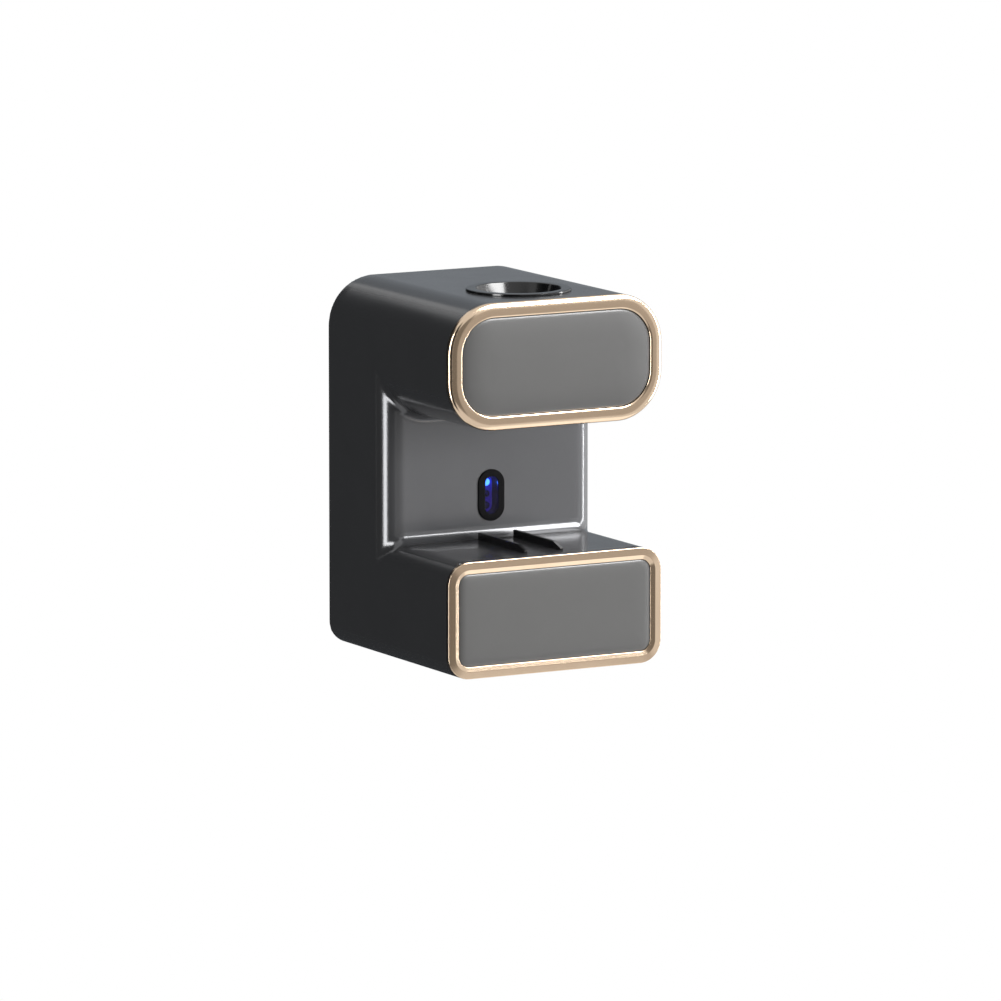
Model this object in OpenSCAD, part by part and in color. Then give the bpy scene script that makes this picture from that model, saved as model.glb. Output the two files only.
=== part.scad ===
// Wall-mounted toothpaste dispenser with a brush holder.
// X runs to the right, the front faces -Y, Z runs up. The origin is the centre of the back
// face of the wall pad, so the wall is the plane y = 0.

/* [Housing] */
// Width of the housing
body_w = 96; // [90:1:110]
// Height of the open recess between the arm and the block
gap_h = 51.5; // [46:0.5:70]
// Height of the lower block, which holds the brush chamber
block_h = 46.5; // [42:0.5:60]
// Depth from the wall to the wall of the recess
recess_d = 50; // [48:0.5:56]
// Reach of the arm and the block in front of the recess wall
reach = 50.9; // [48:0.1:60]
// Corner radius of the arm and of the housing's top
arm_r = 20; // [14:0.5:21]
// Corner radius of the block and of the housing's bottom
block_r = 9.3; // [7:0.1:12]
// Thickness of the shell's walls
wall = 2.2; // [1.8:0.1:2.6]
// Radius of the column's upright front edges
edge_r = 9; // [6:0.1:9.3]
// Radius of the hollow corner between the recess wall and the block's top
floor_fillet_r = 4.8; // [2:0.1:6]
// Radius of the hollow corner between the recess wall and the arm
roof_fillet_r = 4.3; // [2:0.1:6]

/* [Front covers] */
// Width of the trim ring on the arm, seen from the front
arm_ring_w = 5.9; // [4.5:0.1:6.2]
// Width of the trim ring on the block, seen from the front
block_ring_w = 4.7; // [4:0.1:6]
// How far the trim ring on the arm stands out of the seam
arm_ring_d = 2.6; // [2:0.1:4]
// How far the trim ring on the block stands out of the seam
block_ring_d = 2.2; // [1.8:0.1:3]
// Seam between the shell and the covers
seam = 0.3; // [0.2:0.05:0.5]
// Gap between a trim ring and its panel
panel_gap = 0.15; // [0.1:0.05:0.3]
// How far the arm's cover pulls off
cover_travel = 12; // [10:1:20]

/* [Wall mount] */
// Distance of the wall plate's sides from the sides of the housing
plate_inset = 13; // [12:0.5:18]
// Height of the wall plate
plate_h = 104; // [98:1:106]
// Thickness of the wall plate
plate_t = 2.6; // [2.2:0.1:3]
// Thickness of the adhesive pad
pad_t = 1; // [0.6:0.1:1.6]
// Gap between the wall and the back of the housing
rear_gap = 1.5; // [1:0.1:1.6]
// How far the housing lifts off its hooks
lift = 10; // [9:0.5:11]
// Distance between the two wall screws
screw_pitch = 72; // [60:1:80]
// Radius of the wall screw holes
wall_screw_r = 2.25; // [2:0.05:2.5]

/* [Tube socket and pump] */
// Distance of the pump's axis from the wall of the recess
outlet_reach = 22.6; // [21:0.2:25]
// Radius of the bore that grips the neck of the tube
neck_r = 6.5; // [5.5:0.1:7]
// Length of the bore that grips the neck of the tube
neck_len = 12; // [10:0.5:13]
// Length of the pump sleeve, which sets the height of the arm
sleeve_len = 20; // [17:0.5:26]
// Outer radius of the pump sleeve
sleeve_r = 7; // [6:0.1:7.2]
// Inner radius of the pump sleeve
sleeve_bore_r = 4.8; // [4:0.1:5]
// Stroke of the pusher
stroke = 8; // [6:0.5:9]
// Module of the rack and its pinion
rack_module = 0.8; // [0.8:0.1:0.8]
// Teeth of the rack's pinion
pinion_teeth = 12; // [12:1:13]
// Module of the motor's pinion and its wheel
motor_module = 0.6; // [0.5:0.1:0.6]
// Teeth of the wheel
wheel_teeth = 40; // [36:2:40]
// Teeth of the motor's pinion
motor_teeth = 10; // [10:1:12]

/* [Brush holder] */
// Distance between neighbouring brushes
brush_pitch = 28.8; // [26:0.2:30]
// Distance of the brush necks from the shell's front edge
neck_setback = 14.4; // [12:0.2:17]
// Width of the slots for the brush necks
neck_slot_w = 6.6; // [6:0.1:8]
// Distance between the two ribs on the block
rib_pitch = 16; // [12:0.5:22]
// Height of the ribs on the block
rib_h = 3; // [2:0.1:4]
// Thickness of the ribs on the block
rib_t = 1.5; // [1.2:0.1:2.5]

/* [Sensor and controls] */
// Height of the sensor's centre over the block's top
sensor_rise = 16.9; // [16:0.1:20]
// Width of the sensor's bezel
bezel_w = 11.7; // [10:0.1:14]
// Height of the sensor's bezel
bezel_h = 20.9; // [20:0.1:22]
// Radius of the power button
button_r = 3.6; // [3:0.1:4]
// Travel of the power button
button_travel = 0.8; // [0.5:0.1:1]
// Diameter of the battery cell
cell_dia = 18.5; // [14:0.5:18.5]
// Length of the battery cell
cell_len = 50; // [40:1:50]

/* [Hidden] */
$fn = 64;

// Overrun of every cut, running gap of parts that move, and gap of parts that are fitted
over = 1;
run_gap = 0.2;
fit_gap = 0.1;
tight_gap = 0.02;
pin_gap = 0.05;

// Colours
shell_colour = [0.20, 0.20, 0.21];
panel_colour = [0.45, 0.45, 0.46];
gold_colour = [0.82, 0.69, 0.53];
black_colour = [0.06, 0.06, 0.07];
inner_colour = [0.33, 0.34, 0.36];
steel_colour = [0.70, 0.71, 0.73];
brass_colour = [0.80, 0.66, 0.35];
silicone_colour = [0.88, 0.89, 0.90];
board_colour = [0.10, 0.34, 0.22];
acetal_colour = [0.93, 0.93, 0.90];

// Heights that are stacked on the pump's axis, from the arm's floor up to its top
valve_rise = 6.05;
seal_lip_t = 2;
seal_mouth_h = 4;
collar_spigot_len = 4.25;

// Levels and depths of the housing
arm_h = wall + valve_rise + sleeve_len + seal_lip_t + neck_len + seal_mouth_h + collar_spigot_len;
total_h = arm_h + gap_h + block_h;
top_z = total_h / 2;
arm_z = top_z - arm_h;
bottom_z = -top_z;
block_z = bottom_z + block_h;
arm_mid_z = top_z - arm_h / 2;
block_mid_z = bottom_z + block_h / 2;
inner_w = body_w - 2 * wall;
inner_bottom_z = bottom_z + wall;
inner_floor_z = arm_z + wall;
inner_recess_d = recess_d - wall;
front_d = recess_d + reach;
pump_d = recess_d + outlet_reach;
neck_d = front_d - neck_setback;
ring_back_d = front_d + seam;

// Rear cover, and the pocket that takes the wall plate
cover_t = 2.2;
cover_floor_t = 2;
plate_w = body_w - 2 * plate_inset;
pocket_side_gap = 1.5;
pocket_wall = 2;
plate_gap = 0.4;
plate_front_d = pad_t + plate_t;
pocket_floor_d = plate_front_d + plate_gap;
cover_inner_d = pocket_floor_d + cover_floor_t;
flange_inner_d = rear_gap + cover_t;
pocket_low_z = -plate_h / 2 - lift - pocket_side_gap;
pocket_high_z = plate_h / 2 + pocket_side_gap;
plate_corner_r = 6;

// Hooks of the wall plate
hook_w = 12;
hook_x = 22;
hook_stem_h = 4;
hook_lip_h = 8;
hook_lip_t = 2;
hook_lip_gap = 0.3;
hook_low_drop = 50;
hook_high_drop = 16;
hook_zs = [plate_h / 2 - hook_low_drop, plate_h / 2 - hook_high_drop];
hook_slot_gap = 0.4;
countersink_d = 1.4;

// Rear cover screws and their bosses in the shell
boss_r = 4.2;
boss_sink = 0.2;
boss_low_rise = 10;
boss_high_drop = 8;
boss_x = inner_w / 2 - boss_r + boss_sink;
boss_zs = [inner_bottom_z + boss_low_rise, top_z - arm_r - boss_high_drop];
cover_screw_r = 1.5;
cover_screw_len = 12;
screw_head_r = 2.9;
screw_head_t = 1.8;
screw_sink = 0.2;
cover_pad_r = 3.6;
boss_start_d = cover_inner_d;

// Sensor in the recess wall
sensor_z = block_z + sensor_rise;
bezel_lip = 0.7;
bezel_t = 0.8;
bezel_depth = 5;
window_w = 5.9;
window_h = 15.6;
window_t = 3.2;
window_sink = 0.2;
sensor_board_w = 14;
sensor_board_h = 34;
board_t = 1.6;
sensor_post_r = 2.4;
sensor_post_inset = 0.6;
sensor_post_rise = sensor_board_h / 2 - sensor_post_r - sensor_post_inset;
led_r = 1.5;
led_len = 1.8;
led_step = 4.7;
small_screw_r = 1;
small_head_r = 1.9;
small_head_t = 1.2;
small_screw_len = 3.6;
sensor_board_d = recess_d - bezel_depth;

// Tube collar on top of the arm
collar_r = 21;
collar_t = 1;
collar_spigot_r = 18.8;
collar_mouth_r = 17;
collar_throat_r = 14.6;
collar_low_z = top_z - collar_spigot_len;

// Silicone seal, pump sleeve and outlet valve, stacked on the pump's axis
seal_flange_r = 17;
seal_flange_t = 1.8;
seal_mouth_r = 10.5;
seal_r = 9.4;
seal_low_z = collar_low_z - seal_mouth_h - neck_len - seal_lip_t;
sleeve_flange_r = 9.2;
sleeve_flange_t = 2;
sleeve_top_z = seal_low_z;
valve_top_z = inner_floor_z + valve_rise;
sleeve_low_z = valve_top_z;
valve_flange_t = 2;
valve_r = 6;
valve_cone_rise = 2.25;
valve_straight_z = arm_z + valve_cone_rise;
valve_tip_r = 4;
valve_tip_drop = 2.25;
valve_tip_z = arm_z - valve_tip_drop;
valve_wall = 1.4;
valve_slit_w = 0.4;
valve_slit_len = 5;
nozzle_r = 11;
nozzle_t = 0.8;
nozzle_spigot_r = 9.3;
nozzle_bore_r = 7.2;

// Pump frame
frame_base_w = 44;
frame_base_t = 2.4;
pump_boss_h = 3;
frame_base_z = inner_floor_z + pump_boss_h;
frame_top_z = frame_base_z + frame_base_t;
frame_front_gap = 9.9;
frame_front_d = front_d - frame_front_gap;
frame_tail_w = 24;
frame_tail_gap = 2;
frame_tail_d = recess_d + frame_tail_gap;
cup_r = 11.2;
lower_cup_top_z = sleeve_low_z + sleeve_flange_t;
cup_floor_t = 2;
cup_seal_gap = 0.3;
upper_cup_low_z = sleeve_top_z - sleeve_flange_t - cup_floor_t;
upper_cup_top_z = collar_low_z - seal_flange_t - cup_seal_gap;
spine_w = 16;
spine_t = 4.6;
pump_boss_r = 3;
pump_boss_x = 18;
pump_boss_inset = 0.2;
pump_boss_rear = 14.6;
pump_boss_ds = [frame_front_d - pump_boss_r - pump_boss_inset, pump_d - pump_boss_rear];
pump_screw_len = 4.8;
pump_screw_r = 1.2;
pump_head_r = 2.2;
pump_head_t = 1.5;

// Rack, pinion, wheel and motor
pressure_angle = 20;
tooth_gap = 0.1;
pinion_addendum_share = 1;
wheel_addendum_share = 0.6;
rack_addendum_share = 0.7;
dedendum_share = 1.25;
pinion_r = rack_module * pinion_teeth / 2;
wheel_r = motor_module * wheel_teeth / 2;
motor_pinion_r = motor_module * motor_teeth / 2;
gear_setback = 28.6;
gear_d = pump_d - gear_setback;
frame_rear_reach = 20;
frame_rear_d = gear_d - frame_rear_reach;
pinion_w = 6.8;
wheel_w = 3;
wheel_x = 7;
hub_r = 3.5;
hub_spare = 1.1;
hub_low_x = -5.2;
hub_high_x = wheel_x + wheel_w + hub_spare;
axle_r = 1.5;
ear_t = 2.4;
left_ear_x = hub_low_x - run_gap - ear_t;
right_ear_x = hub_high_x + run_gap;
ear_w = 14;
motor_angle = 30;
motor_d = gear_d - (wheel_r + motor_pinion_r) * cos(motor_angle);
motor_x = right_ear_x + ear_t;
motor_w = 12;
motor_h = 10;
gearbox_len = 9;
motor_lead_out = 3;
motor_side_gap = 5.1;
can_len = inner_w / 2 - motor_x - gearbox_len - motor_lead_out - motor_side_gap;
end_cap_r = 2.2;
end_cap_len = 1;
motor_shaft_r = 1.2;
motor_shaft_spare = 0.6;
motor_shaft_start_x = wheel_x - motor_shaft_spare;
motor_shaft_depth = 4;
motor_pinion_spare = 0.4;
motor_pinion_w = wheel_w + motor_pinion_spare;
motor_screw_pitch = 9;
motor_screw_r = 0.8;
motor_screw_head_r = 1.3;
motor_screw_head_t = 0.7;
motor_screw_len = 4;
motor_plate_margin = 2;

// Pusher
pusher_head_w = 18;
pusher_head_gap = 2.6;
pusher_head_h = upper_cup_low_z - lower_cup_top_z - 2 * pusher_head_gap;
pusher_nose_r = pusher_head_h / 2;
pusher_head_t = pusher_nose_r;
pusher_gap = 0.3;
rack_w = 8;
rack_body_h = 4;
rack_drop = 0.4;
pusher_mid_z = (upper_cup_low_z + lower_cup_top_z) / 2;
rack_low_z = pusher_mid_z - rack_drop - rack_body_h / 2;
rack_root_z = rack_low_z + rack_body_h;
rack_pitch_z = rack_root_z + dedendum_share * rack_module;
gear_z = rack_pitch_z + pinion_r;
motor_z = gear_z + (wheel_r + motor_pinion_r) * sin(motor_angle);
pusher_nose_d = pump_d - sleeve_r - pusher_gap - pusher_nose_r;
rack_spare = 4;
rack_rear_d = gear_d - stroke - rack_spare;
guide_len = 4.2;
guide_cheek_t = 2;
guide_gap = 0.4;
guide_front_d = pusher_nose_d - pusher_head_t - guide_gap;
rack_mesh_len = 6;
rack_teeth = ceil((stroke + rack_mesh_len) / (PI * rack_module));

// Battery, its cradle and its contacts
cradle_wall = 1.75;
cell_r = cell_dia / 2;
cell_gap = 0.15;
cell_x = boss_r + pin_gap + cradle_wall + cell_gap + cell_r - boss_x;
cradle_floor_t = 3.6;
cell_d = cover_inner_d + cell_r + cradle_floor_t;
contact_t = 0.5;
cradle_rise = 6.2;
cradle_low_z = inner_bottom_z + cradle_rise;
cell_low_z = cradle_low_z + cradle_wall + contact_t + cell_gap;
contact_w = 8;

// Main board, the charging socket and the power button
button_flange_r = 4.8;
button_flange_t = 1.2;
button_spare = 0.65;
button_clear_z = inner_bottom_z + fit_gap + button_flange_t + button_travel + button_spare;
board_side_gap = 1.6;
board_cradle_gap = 3.25;
board_left_x = cell_x + cell_r + cell_gap + cradle_wall + board_cradle_gap;
board_right_x = boss_x - boss_r - board_side_gap;
main_board_w = board_right_x - board_left_x;
main_board_h = 60;
main_board_x = (board_left_x + board_right_x) / 2;
main_board_low_z = button_clear_z;
chip_w = 9.6;
coil_w = 6;
coil_h = 7.5;
board_post_h = 5;
main_board_d = cover_inner_d + board_post_h;
board_post_r = 2.6;
board_post_inset = 4;
main_board_mid_z = main_board_low_z + main_board_h / 2;
button_inset = 11;
usb_pitch = 11;
button_x = board_right_x - button_inset;
usb_x = button_x - usb_pitch;
usb_w = 9;
usb_h = 3.2;
usb_len = 7.3;
usb_wall = 0.3;
usb_sink = 0.35;
usb_hole_gap = 0.3;
usb_tongue_w = 6.7;
usb_tongue_t = 0.7;
usb_tongue_sink = 1;
usb_gap = 0.1;
port_d = main_board_d + board_t + usb_h / 2 + usb_gap;
button_out = 0.6;
switch_w = 6;
switch_h = 4;
switch_t = 3.5;
switch_plunger_r = 1.2;
switch_plunger_len = 0.8;
switch_low_z = button_clear_z + switch_plunger_len;

// Ultraviolet light of the brush chamber
uv_rise = 25;
uv_z = bottom_z + uv_rise;
uv_open_w = 60;
uv_open_h = 11;
uv_board_w = 66;
uv_board_h = 17;
uv_led_w = 3.5;
uv_led_t = 1.3;
uv_led_pitch = 23;
uv_window_t = 1;
uv_window_margin = 3;

// Wiring
ribbon_w = 6;
ribbon_t = 0.3;
plug_w = 8;
plug_h = 2.6;
plug_t = 1.4;
ribbon_inset = 15;
ribbon_pitch = 5;
sensor_ribbon_x = board_left_x + ribbon_inset;
sensor_ribbon_drop = 8;
sensor_ribbon_z = sensor_z - sensor_ribbon_drop;
uv_ribbon_x = sensor_ribbon_x + ribbon_pitch;
wire_r = 0.6;
wire_pitch = 2;
motor_lead_side = end_cap_r + wire_r + fit_gap;
motor_lead_inset = 10;
boss_lead_gap = 3.5;
boss_len = motor_d - motor_lead_side - wire_r - boss_lead_gap - boss_start_d;
motor_lead_drop = 8;
battery_lead_inset = 5;
battery_lead_rise = 6;
battery_lead_drop = 4;

// Ribs on the block, and the comb on the chamber's floor
rib_rear_gap = 0.3;
rib_front_gap = 7.5;
rib_slope_len = 6;
rib_nose_h = 0.8;
rib_peg_r = 0.7;
rib_peg_len = 2.6;
rib_peg_inset = 6;
shell_slot_spare = 2.4;
shell_slot_w = neck_slot_w + shell_slot_spare;
rack_t = 2;
comb_rear_gap = 6;
comb_rear_d = recess_d + comb_rear_gap;
comb_margin = 0.3;

// Hinge of the door, along the shell's upper front edge
hinge_r = 1.3;
hinge_pin_r = 0.6;
hinge_d = front_d - hinge_r;
hinge_z = block_z - hinge_r;
nose_spare = 3.8;
nose_half = body_w / 2 - block_r + nose_spare;
knuckle_inset = 12;
knuckle_x = body_w / 2 - knuckle_inset;
knuckle_w = 4;
hinge_pin_len = 11;
knuckle_arm_rise = 0.6;
knuckle_arm_drop = 3.4;

// Door, arm cover and their magnets
mouth_gap = 0.4;
door_frame_t = 1.8;
cover_plate_t = 2;
cover_free = 3;
cover_spigot_len = cover_travel - cover_free;
cover_spigot_wall = 1.6;
panel_edge_w = 1.4;
panel_edge_d = 0.7;
panel_sink = 0.25;
arm_panel_d = arm_ring_d - panel_sink;
block_panel_d = block_ring_d - panel_sink;
magnet_r = 2;
magnet_t = 2;
magnet_inset = 7.5;
magnet_x = body_w / 2 - magnet_inset;
magnet_z = inner_bottom_z + magnet_inset;
magnet_gap = 0.3;
magnet_boss_w = 7.4;
magnet_boss_h = 6.4;
magnet_boss_t = 5;
door_pad_t = 2.6;
door_pad_r = 2.9;
crest_r = 3.6;
bevel_side_share = 0.45;
bevel_crest_share = 0.62;
bevel_inner_share = 0.78;

// Outline with its own radii at the top and at the bottom
module outline(w, h, r_top, r_low) {
    square([w - 2 * r_top, h], center = true);
    translate([-w / 2, r_low - h / 2]) square([w, h - r_top - r_low]);
    translate([r_low - w / 2, -h / 2]) square([w - 2 * r_low, h / 2]);
    for (side = [-1, 1]) {
        translate([side * (w / 2 - r_top), h / 2 - r_top]) circle(r_top);
        translate([side * (w / 2 - r_low), r_low - h / 2]) circle(r_low);
    }
}

// Outlines of the housing, the arm and the block, drawn in by an inset
module housing_outline(inset) {
    outline(body_w - 2 * inset, total_h - 2 * inset, arm_r - inset, block_r - inset);
}

module arm_outline(inset) {
    translate([0, arm_mid_z]) outline(body_w - 2 * inset, arm_h - 2 * inset, arm_r - inset, arm_r - inset);
}

module block_outline(inset) {
    translate([0, block_mid_z])
        outline(body_w - 2 * inset, block_h - 2 * inset, block_r - inset, block_r - inset);
}

module obround(w, h) {
    square([w, h - w], center = true);
    for (side = [-1, 1]) translate([0, side * (h - w) / 2]) circle(w / 2);
}

// Extrudes an outline in X and Z from one depth behind the front to the next
module slab(d_rear, d_front) {
    translate([0, -d_rear, 0]) rotate([90, 0, 0]) linear_extrude(d_front - d_rear) children();
}

// Extrudes an outline in Y and Z along X
module bar_x(x_start, x_end) {
    translate([x_start, 0, 0]) rotate([90, 0, 90]) linear_extrude(x_end - x_start) children();
}

// Round rods along Y and along X
module rod_y(x, z, r, d_rear, d_front) {
    translate([x, -d_rear, z]) rotate([90, 0, 0]) cylinder(h = d_front - d_rear, r = r);
}

module rod_x(d, z, r, x_start, x_end) {
    translate([x_start, -d, z]) rotate([0, 90, 0]) cylinder(h = x_end - x_start, r = r);
}

// Box given by its centre in X, its depth range and its height range
module block_box(x, w, d_rear, d_front, z_low, z_high) {
    translate([x - w / 2, -d_front, z_low]) cube([w, d_front - d_rear, z_high - z_low]);
}

module at_pump() {
    translate([0, -pump_d, 0]) children();
}

// Screw with a round head, its head's underside at the origin, its shaft along -Z
module screw(shaft_r, shaft_len, head_r, head_t) {
    cylinder(h = head_t, r = head_r);
    translate([0, 0, -shaft_len]) cylinder(h = shaft_len, r = shaft_r);
}

// Involute gear outline, with a tooth centred on the first axis
function involute(base_r, t) = base_r * [cos(t) + t * PI / 180 * sin(t), sin(t) - t * PI / 180 * cos(t)];
function turned(p, a) = [p[0] * cos(a) - p[1] * sin(a), p[0] * sin(a) + p[1] * cos(a)];
function roll_to(base_r, r) = sqrt(max(0, pow(r / base_r, 2) - 1)) * 180 / PI;

module gear_outline(tooth_module, teeth, addendum_share) {
    pitch_r = tooth_module * teeth / 2;
    base_r = pitch_r * cos(pressure_angle);
    tip_r = pitch_r + addendum_share * tooth_module;
    root_r = pitch_r - dedendum_share * tooth_module;
    flank_steps = 5;
    half_tooth = 90 / teeth - tooth_gap / 2 / pitch_r * 180 / PI;
    involute_angle = tan(pressure_angle) * 180 / PI - pressure_angle;
    base_half = half_tooth + involute_angle;
    first_roll = roll_to(base_r, root_r);
    last_roll = roll_to(base_r, tip_r);
    flank = [
        for (i = [0:flank_steps])
            turned(involute(base_r, first_roll + (last_roll - first_roll) * i / flank_steps), -base_half)
    ];
    foot = turned([root_r, 0], root_r < base_r ? -base_half : atan2(flank[0][1], flank[0][0]));
    half = concat(root_r < base_r ? [foot] : [], flank);
    circle(root_r);
    for (k = [0:teeth - 1])
        rotate(k * 360 / teeth)
            polygon(concat(
                [[root_r / 2, foot[1] / 2]],
                half,
                [for (i = [len(half) - 1:-1:0]) [half[i][0], -half[i][1]]],
                [[root_r / 2, -foot[1] / 2]]
            ));
}

// Rack tooth that points up, centred on zero, its pitch line at height zero
module rack_tooth(tooth_module) {
    half = PI * tooth_module / 4 - tooth_gap / 2;
    up = rack_addendum_share * tooth_module;
    down = dedendum_share * tooth_module;
    slope = tan(pressure_angle);
    polygon([
        [-half - down * slope, -down], [half + down * slope, -down],
        [half - up * slope, up], [up * slope - half, up]
    ]);
}

// Trim ring lying flat, its front up: the band's profile runs outward from the inner edge
module swept_ring(w, h, r, band) {
    for (sx = [0, 1], sy = [0, 1]) mirror([sx, 0, 0]) mirror([0, sy, 0]) {
        translate([w / 2 - r, h / 2 - r, 0])
            rotate_extrude(angle = 90) translate([r - band, 0]) children();
        translate([w / 2 - band, h / 2 - r, 0])
            rotate([90, 0, 0]) linear_extrude(h / 2 - r) children();
        translate([0, h / 2 - band, 0])
            rotate([90, 0, 90]) linear_extrude(w / 2 - r) children();
    }
}

// Wire that follows a route in straight stretches
module wire(route) {
    for (i = [0:len(route) - 2]) {
        along = route[i + 1] - route[i];
        translate(route[i])
            rotate([0, acos(along[2] / norm(along)), atan2(along[1], along[0])])
                cylinder(h = norm(along), r = wire_r);
    }
    for (i = [1:len(route) - 2]) translate(route[i]) sphere(wire_r);
}

// Wall plate with four upward hooks and two countersunk screw holes
module wall_plate() {
    color(inner_colour) difference() {
        union() {
            slab(pad_t, plate_front_d) outline(plate_w, plate_h, plate_corner_r, plate_corner_r);
            for (x = [-hook_x, hook_x], z = hook_zs) {
                block_box(x, hook_w, pad_t, hook_front_d(), z, z + hook_stem_h);
                block_box(x, hook_w, cover_inner_d + hook_lip_gap, hook_front_d(), z,
                    z + hook_stem_h + hook_lip_h);
            }
        }
        for (side = [-1, 1]) {
            rod_y(0, side * screw_pitch / 2, wall_screw_r, 0, plate_front_d + over);
            translate([0, countersink_d - plate_front_d, side * screw_pitch / 2]) rotate([90, 0, 0])
                cylinder(h = countersink_d, r1 = wall_screw_r, r2 = wall_screw_r + countersink_d);
        }
    }
}

function hook_front_d() = cover_inner_d + hook_lip_gap + hook_lip_t;

module adhesive_pad() {
    color(black_colour) difference() {
        slab(0, pad_t) outline(plate_w, plate_h, plate_corner_r, plate_corner_r);
        for (side = [-1, 1]) rod_y(0, side * screw_pitch / 2, wall_screw_r, -over, pad_t + over);
    }
}

// Column of the housing from a depth to the recess wall, drawn in by an inset, its upright edges rounded
module column(inset, d_rear) {
    low_z = block_z - block_r;
    edge_h = arm_z + arm_r - low_z;
    difference() {
        slab(d_rear, recess_d - inset) housing_outline(inset);
        for (side = [0, 1]) mirror([side, 0, 0]) difference() {
            translate([body_w / 2 - edge_r, -recess_d - over, low_z])
                cube([edge_r + over, edge_r + over, edge_h]);
            translate([body_w / 2 - edge_r, edge_r - recess_d, low_z - over])
                cylinder(h = edge_h + 2 * over, r = edge_r - inset);
        }
    }
}

// Outer form of the shell: column, arm and block
module shell_outside() {
    column(0, rear_gap);
    slab(recess_d - edge_r, front_d) arm_outline(0);
    slab(recess_d - edge_r, front_d) block_outline(0);
}

// Hollow corners of the recess, at the block's top and under the arm
module recess_fillets() {
    for (corner = [[block_z, floor_fillet_r, 1, block_r], [arm_z, roof_fillet_r, -1, arm_r]])
        difference() {
            translate([max(corner[3], edge_r) - body_w / 2, -recess_d - corner[1], corner[0]])
                mirror([0, 0, corner[2] > 0 ? 0 : 1]) translate([0, 0, -wall / 2])
                    cube([body_w - 2 * max(corner[3], edge_r), corner[1] + wall / 2, corner[1] + wall / 2]);
            rod_x(recess_d + corner[1], corner[0] + corner[2] * corner[1], corner[1],
                -body_w / 2, body_w / 2);
        }
}

// Rounded nose of the block's top edge, which carries the hinge pins
module hinge_nose() {
    intersection() {
        rod_x(hinge_d, hinge_z, hinge_r, -nose_half, nose_half);
        slab(hinge_d - 2 * hinge_r, front_d) block_outline(0);
    }
}

// Clears the block's top edge round the nose, and the notches of the door's knuckles
module hinge_clearance() {
    difference() {
        block_box(0, 2 * nose_half, hinge_d, front_d + over, hinge_z - hinge_r - 2 * seam, block_z + over);
        rod_x(hinge_d, hinge_z, hinge_r, -nose_half - over, nose_half + over);
    }
    for (side = [-1, 1]) {
        low_x = side * knuckle_x - knuckle_w / 2 - run_gap;
        rod_x(hinge_d, hinge_z, hinge_r + seam, low_x, low_x + knuckle_w + 2 * run_gap);
        block_box(side * knuckle_x, knuckle_w + 2 * run_gap, hinge_d, front_d + over,
            hinge_z - hinge_r - seam, block_z + over);
        rod_x(hinge_d, hinge_z, hinge_pin_r + tight_gap, side * knuckle_x - hinge_pin_len / 2,
            side * knuckle_x + hinge_pin_len / 2);
    }
}

// Openings in the shell's walls
module shell_openings() {
    at_pump() translate([0, 0, top_z - wall - over])
        cylinder(h = wall + 2 * over, r = collar_spigot_r + fit_gap);
    at_pump() translate([0, 0, arm_z - over]) cylinder(h = wall + 2 * over, r = nozzle_spigot_r + fit_gap);
    slab(recess_d - wall - over, recess_d + over)
        translate([0, sensor_z])
            obround(bezel_w - 2 * bezel_lip + 2 * fit_gap, bezel_h - 2 * bezel_lip + 2 * fit_gap);
    block_box(0, uv_open_w, recess_d - wall - over, recess_d + over,
        uv_z - uv_open_h / 2, uv_z + uv_open_h / 2);
    for (x = [-brush_pitch, 0, brush_pitch]) {
        block_box(x, shell_slot_w, neck_d, front_d + over, bottom_z - over, inner_bottom_z + over);
        translate([x, -neck_d, bottom_z - over]) cylinder(h = wall + 2 * over, r = shell_slot_w / 2);
    }
    for (x = [-rib_pitch / 2, rib_pitch / 2], d = rib_peg_ds())
        translate([x, -d, block_z - wall - over]) cylinder(h = wall + 2 * over, r = rib_peg_r + pin_gap);
    translate([usb_x, -port_d, bottom_z - over]) linear_extrude(wall + 2 * over)
        rotate(90) obround(usb_h + 2 * usb_hole_gap, usb_w + 2 * usb_hole_gap);
    translate([button_x, -port_d, bottom_z - over]) cylinder(h = wall + 2 * over, r = button_r + run_gap);
}

function rib_peg_ds() = [
    recess_d + floor_fillet_r + rib_peg_inset,
    front_d - rib_front_gap - rib_slope_len - rib_peg_inset
];

// Bosses inside the shell for the rear cover, the sensor board, the pump frame and the magnets
module shell_bosses() {
    for (x = [-boss_x, boss_x], z = boss_zs) difference() {
        rod_y(x, z, boss_r, boss_start_d, boss_start_d + boss_len);
        rod_y(x, z, cover_screw_r + tight_gap, boss_start_d - over, boss_start_d + cover_screw_len);
    }
    for (side = [-1, 1]) difference() {
        rod_y(0, sensor_z + side * sensor_post_rise, sensor_post_r,
            sensor_board_d, inner_recess_d + wall / 2);
        rod_y(0, sensor_z + side * sensor_post_rise, small_screw_r + tight_gap,
            sensor_board_d - over, sensor_board_d + small_screw_len - board_t + fit_gap);
    }
    for (x = [-pump_boss_x, pump_boss_x], d = pump_boss_ds) translate([x, -d, inner_floor_z]) difference() {
        translate([0, 0, -wall / 2]) cylinder(h = frame_base_z - inner_floor_z + wall / 2, r = pump_boss_r);
        translate([0, 0, frame_top_z - inner_floor_z - pump_screw_len - fit_gap])
            cylinder(h = pump_screw_len + over, r = pump_screw_r + tight_gap);
    }
    for (side = [-1, 1]) difference() {
        intersection() {
            block_box(side * (body_w / 2 - magnet_boss_w / 2 - wall / 2), magnet_boss_w + wall,
                magnet_rear_d() - magnet_boss_t + magnet_t, magnet_rear_d() + magnet_t,
                magnet_z - magnet_boss_h / 2, magnet_z + magnet_boss_h / 2);
            slab(recess_d, front_d) block_outline(wall / 2);
        }
        rod_y(side * magnet_x, magnet_z, magnet_r + tight_gap, magnet_rear_d(),
            magnet_rear_d() + magnet_t + over);
    }
}

function magnet_rear_d() = ring_back_d - door_pad_t - magnet_gap - magnet_t;

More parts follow.
